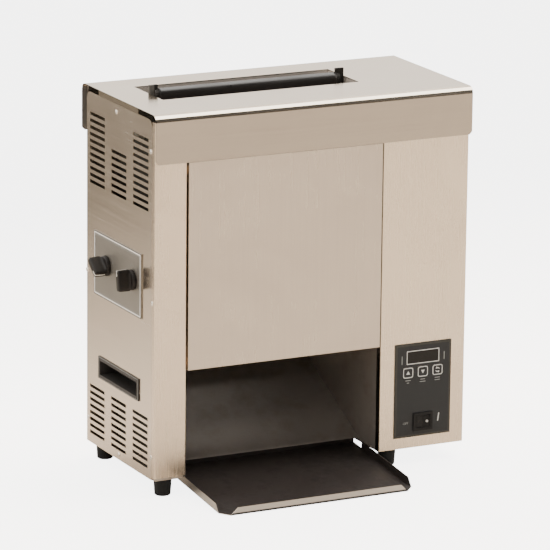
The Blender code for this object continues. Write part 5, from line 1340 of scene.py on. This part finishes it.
@dataclass
class Studio:
    """Floor, lights and camera."""

    camera_place: tuple[float, float, float] = (-2.79829, -5.55892, 1.89017)
    yaw: float = math.radians(26.58)
    pitch: float = math.radians(14.40)
    roll: float = math.radians(0.62)
    lens: float = 287.15
    clip_end: float = 60.0
    aim: tuple[float, float, float] = (0.0, 0.0, 0.25)
    white: float = 5.0
    floor_half: float = 6.0
    floor_lines: int = 25
    floor_z: float = -0.0002
    floor_fade: Pair = (0.25, 1.6)
    near_floor: Colour = (0.62, 0.55, 0.47)
    far_floor: Colour = (0.125, 0.11, 0.09)
    light_colour: Colour = (1.0, 0.96, 0.90)
    box_x: Pair = (0.15, 0.75)
    box_y: Pair = (-0.38, 0.60)
    box_z: Pair = (0.60, 0.70)
    overhead_z: Pair = (0.55, 0.68)
    dark_y: Pair = (-0.42, -0.32)
    pale: Colour = (2.15, 2.02, 1.86)
    overhead: Colour = (1.70, 1.64, 1.55)
    soft_box: Colour = (8.0, 7.8, 7.5)
    front_dark: Colour = (0.15, 0.14, 0.13)

    def floor(self) -> None:
        """Wide pale floor, a flat grid just under the feet."""
        side = np.linspace(-self.floor_half, self.floor_half, self.floor_lines)
        x, y = np.meshgrid(side, side, indexing="ij")
        floor = mesh_from_grid("studio_floor", np.stack((x, y, np.full_like(x, self.floor_z)), -1))
        material, bench, shader = fresh_material("studio_floor_paint")
        bench.feed(shader, Roughness=0.9, Specular_IOR_Level=0.1, Emission_Strength=self.white)
        _, place_of = bench.surface()
        colour = bench.blend(bench.ranged(place_of["Y"], *self.floor_fade), self.near_floor, self.far_floor)
        bench.feed(shader, Base_Color=colour, Emission_Color=self.seen(bench, (0.0,) * 3, (1.0,) * 3))
        floor.data.materials.append(material)

    @staticmethod
    def seen(bench: NodeBench, otherwise: Socket | Colour, by_camera: Colour) -> Socket:
        """Colour that the camera itself sees, with another for all else."""
        return bench.blend(bench.add("ShaderNodeLightPath").outputs["Is Camera Ray"], otherwise, by_camera)

    def lights(self) -> None:
        """Soft key light from the front left, a broad one overhead and a weak fill from the right."""
        for name, spot, size, power in (
            ("key_light", (-1.9, -2.6, 2.3), 1.6, 22.0),
            ("top_light", (0.2, 0.6, 2.6), 2.2, 8.0),
            ("fill_light", (2.6, -1.8, 1.3), 1.8, 14.0),
        ):
            light = bpy.data.lights.new(name, "AREA")
            light.size = size
            light.energy = power
            light.color = self.light_colour
            lamp = linked(name, light)
            lamp.location = spot
            lamp.rotation_euler = (Vector(self.aim) - Vector(spot)).to_track_quat("-Z", "Y").to_euler()

    def surroundings(self) -> None:
        """Surroundings of a studio: pale above and behind, dark in front, with one soft box overhead.

        The camera sees none of this, only the floor's own white.
        """
        world = bpy.data.worlds.new("studio")
        bpy.context.scene.world = world
        world.use_nodes = True
        bench = NodeBench(world.node_tree)
        way = bench.split(bench.add("ShaderNodeTexCoord").outputs["Generated"])
        box = bench.product(
            bench.within(way["X"], *self.box_x, soft=0.05),
            bench.within(way["Y"], *self.box_y, soft=0.04),
            bench.ranged(way["Z"], *self.box_z),
        )
        above = bench.blend(box, self.overhead, self.soft_box)
        sky = bench.blend(bench.ranged(way["Z"], *self.overhead_z), self.pale, above)
        around = bench.blend(bench.falling(way["Y"], *self.dark_y), sky, self.front_dark)
        background = world.node_tree.nodes["Background"]
        bench.feed(background, Color=self.seen(bench, around, (self.white,) * 3), Strength=1.0)

    def camera(self) -> None:
        """Camera at a fitted place and turn."""
        level_way = Vector((math.sin(self.yaw), math.cos(self.yaw), 0.0))
        forward = level_way * math.cos(self.pitch) - Vector((0.0, 0.0, math.sin(self.pitch)))
        level = forward.cross(Vector((0.0, 0.0, 1.0))).normalized()
        upright = level.cross(forward)
        right = level * math.cos(self.roll) + upright * math.sin(self.roll)
        up = upright * math.cos(self.roll) - level * math.sin(self.roll)
        data = bpy.data.cameras.new("camera")
        data.lens = self.lens
        data.clip_end = self.clip_end
        camera = linked("camera", data)
        turn = Matrix((right, up, -forward)).transposed()
        camera.matrix_world = Matrix.Translation(Vector(self.camera_place)) @ turn.to_4x4()
        bpy.context.scene.camera = camera


def dress_tray() -> None:
    """Give the discharge tray its two-sided finish."""
    low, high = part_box("discharge_tray")
    finish = CoatedTray(
        "coated_tray",
        (0.030, 0.024, 0.022),
        0.36,
        tint=(0.012, 0.009, 0.008),
        amount=0.6,
        middle_x=(low.x + high.x) / 2,
        front_y=low.y,
    )
    painted(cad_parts["discharge_tray"], finish)


def screws() -> None:
    """Screws of the left, right and rear panels and of the fan."""
    side = ((238, 262), (10.7, 264.5), (233, 36.6), (124.5, 8.0), (12.4, 34.5), (135, 519.7), (16.9, 485.5))
    for name, way, x in (("left_panel_screws", -1, 0.0), ("right_panel_screws", 1, 507.4)):
        ScrewHeads(name, Vector((way, 0, 0)), tuple((x, y, z) for y, z in side)).build()
    rear_face = 239.55
    rear = ((12, 20), (12, 270), (12, 500), (495, 20), (495, 270), (495, 500), (254, 20), (254, 500))
    fan = ((404.4, 52.4), (475.6, 52.4), (404.4, 123.6), (475.6, 123.6))
    for name, spots, sizes in (("rear_panel_screws", rear, {}), ("fan_screws", fan, {"radius": 2.6, "reach": 1.6})):
        ScrewHeads(name, Vector((0, 1, 0)), tuple((x, rear_face, z) for x, z in spots), **sizes).build()


def main() -> None:
    """Build the studio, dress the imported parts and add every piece."""
    logging.basicConfig(level=logging.INFO, format="%(name)s: %(message)s")
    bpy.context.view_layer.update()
    studio = Studio()
    studio.camera()
    studio.floor()
    studio.lights()
    studio.surroundings()
    for finish, names in NODE_FINISHES.items():
        for name in names:
            painted(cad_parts[name], finish)
    dress_tray()
    screws()
    dial_plate = DialPlate()
    for end, (y, angle) in zip(ENDS, dial_plate.axes):
        knob = AdjustmentKnob(f"{end}_knob", f"{end}_adjustment_knob", f"{end}_adjuster", y, math.radians(angle))
        knob.build()
    for piece in (dial_plate, HoldTrim(), OverlayPrint(), RockerMarks(), ReleaseCloth()):
        piece.build()
    for end, y in zip(ENDS, (81.5, 212.5)):
        RibbedBelt(f"{end}_ribbed_belt", f"{end}_conveyor_belt", f"{end}_conveyor", y).build()


if __name__ == "__main__":
    main()
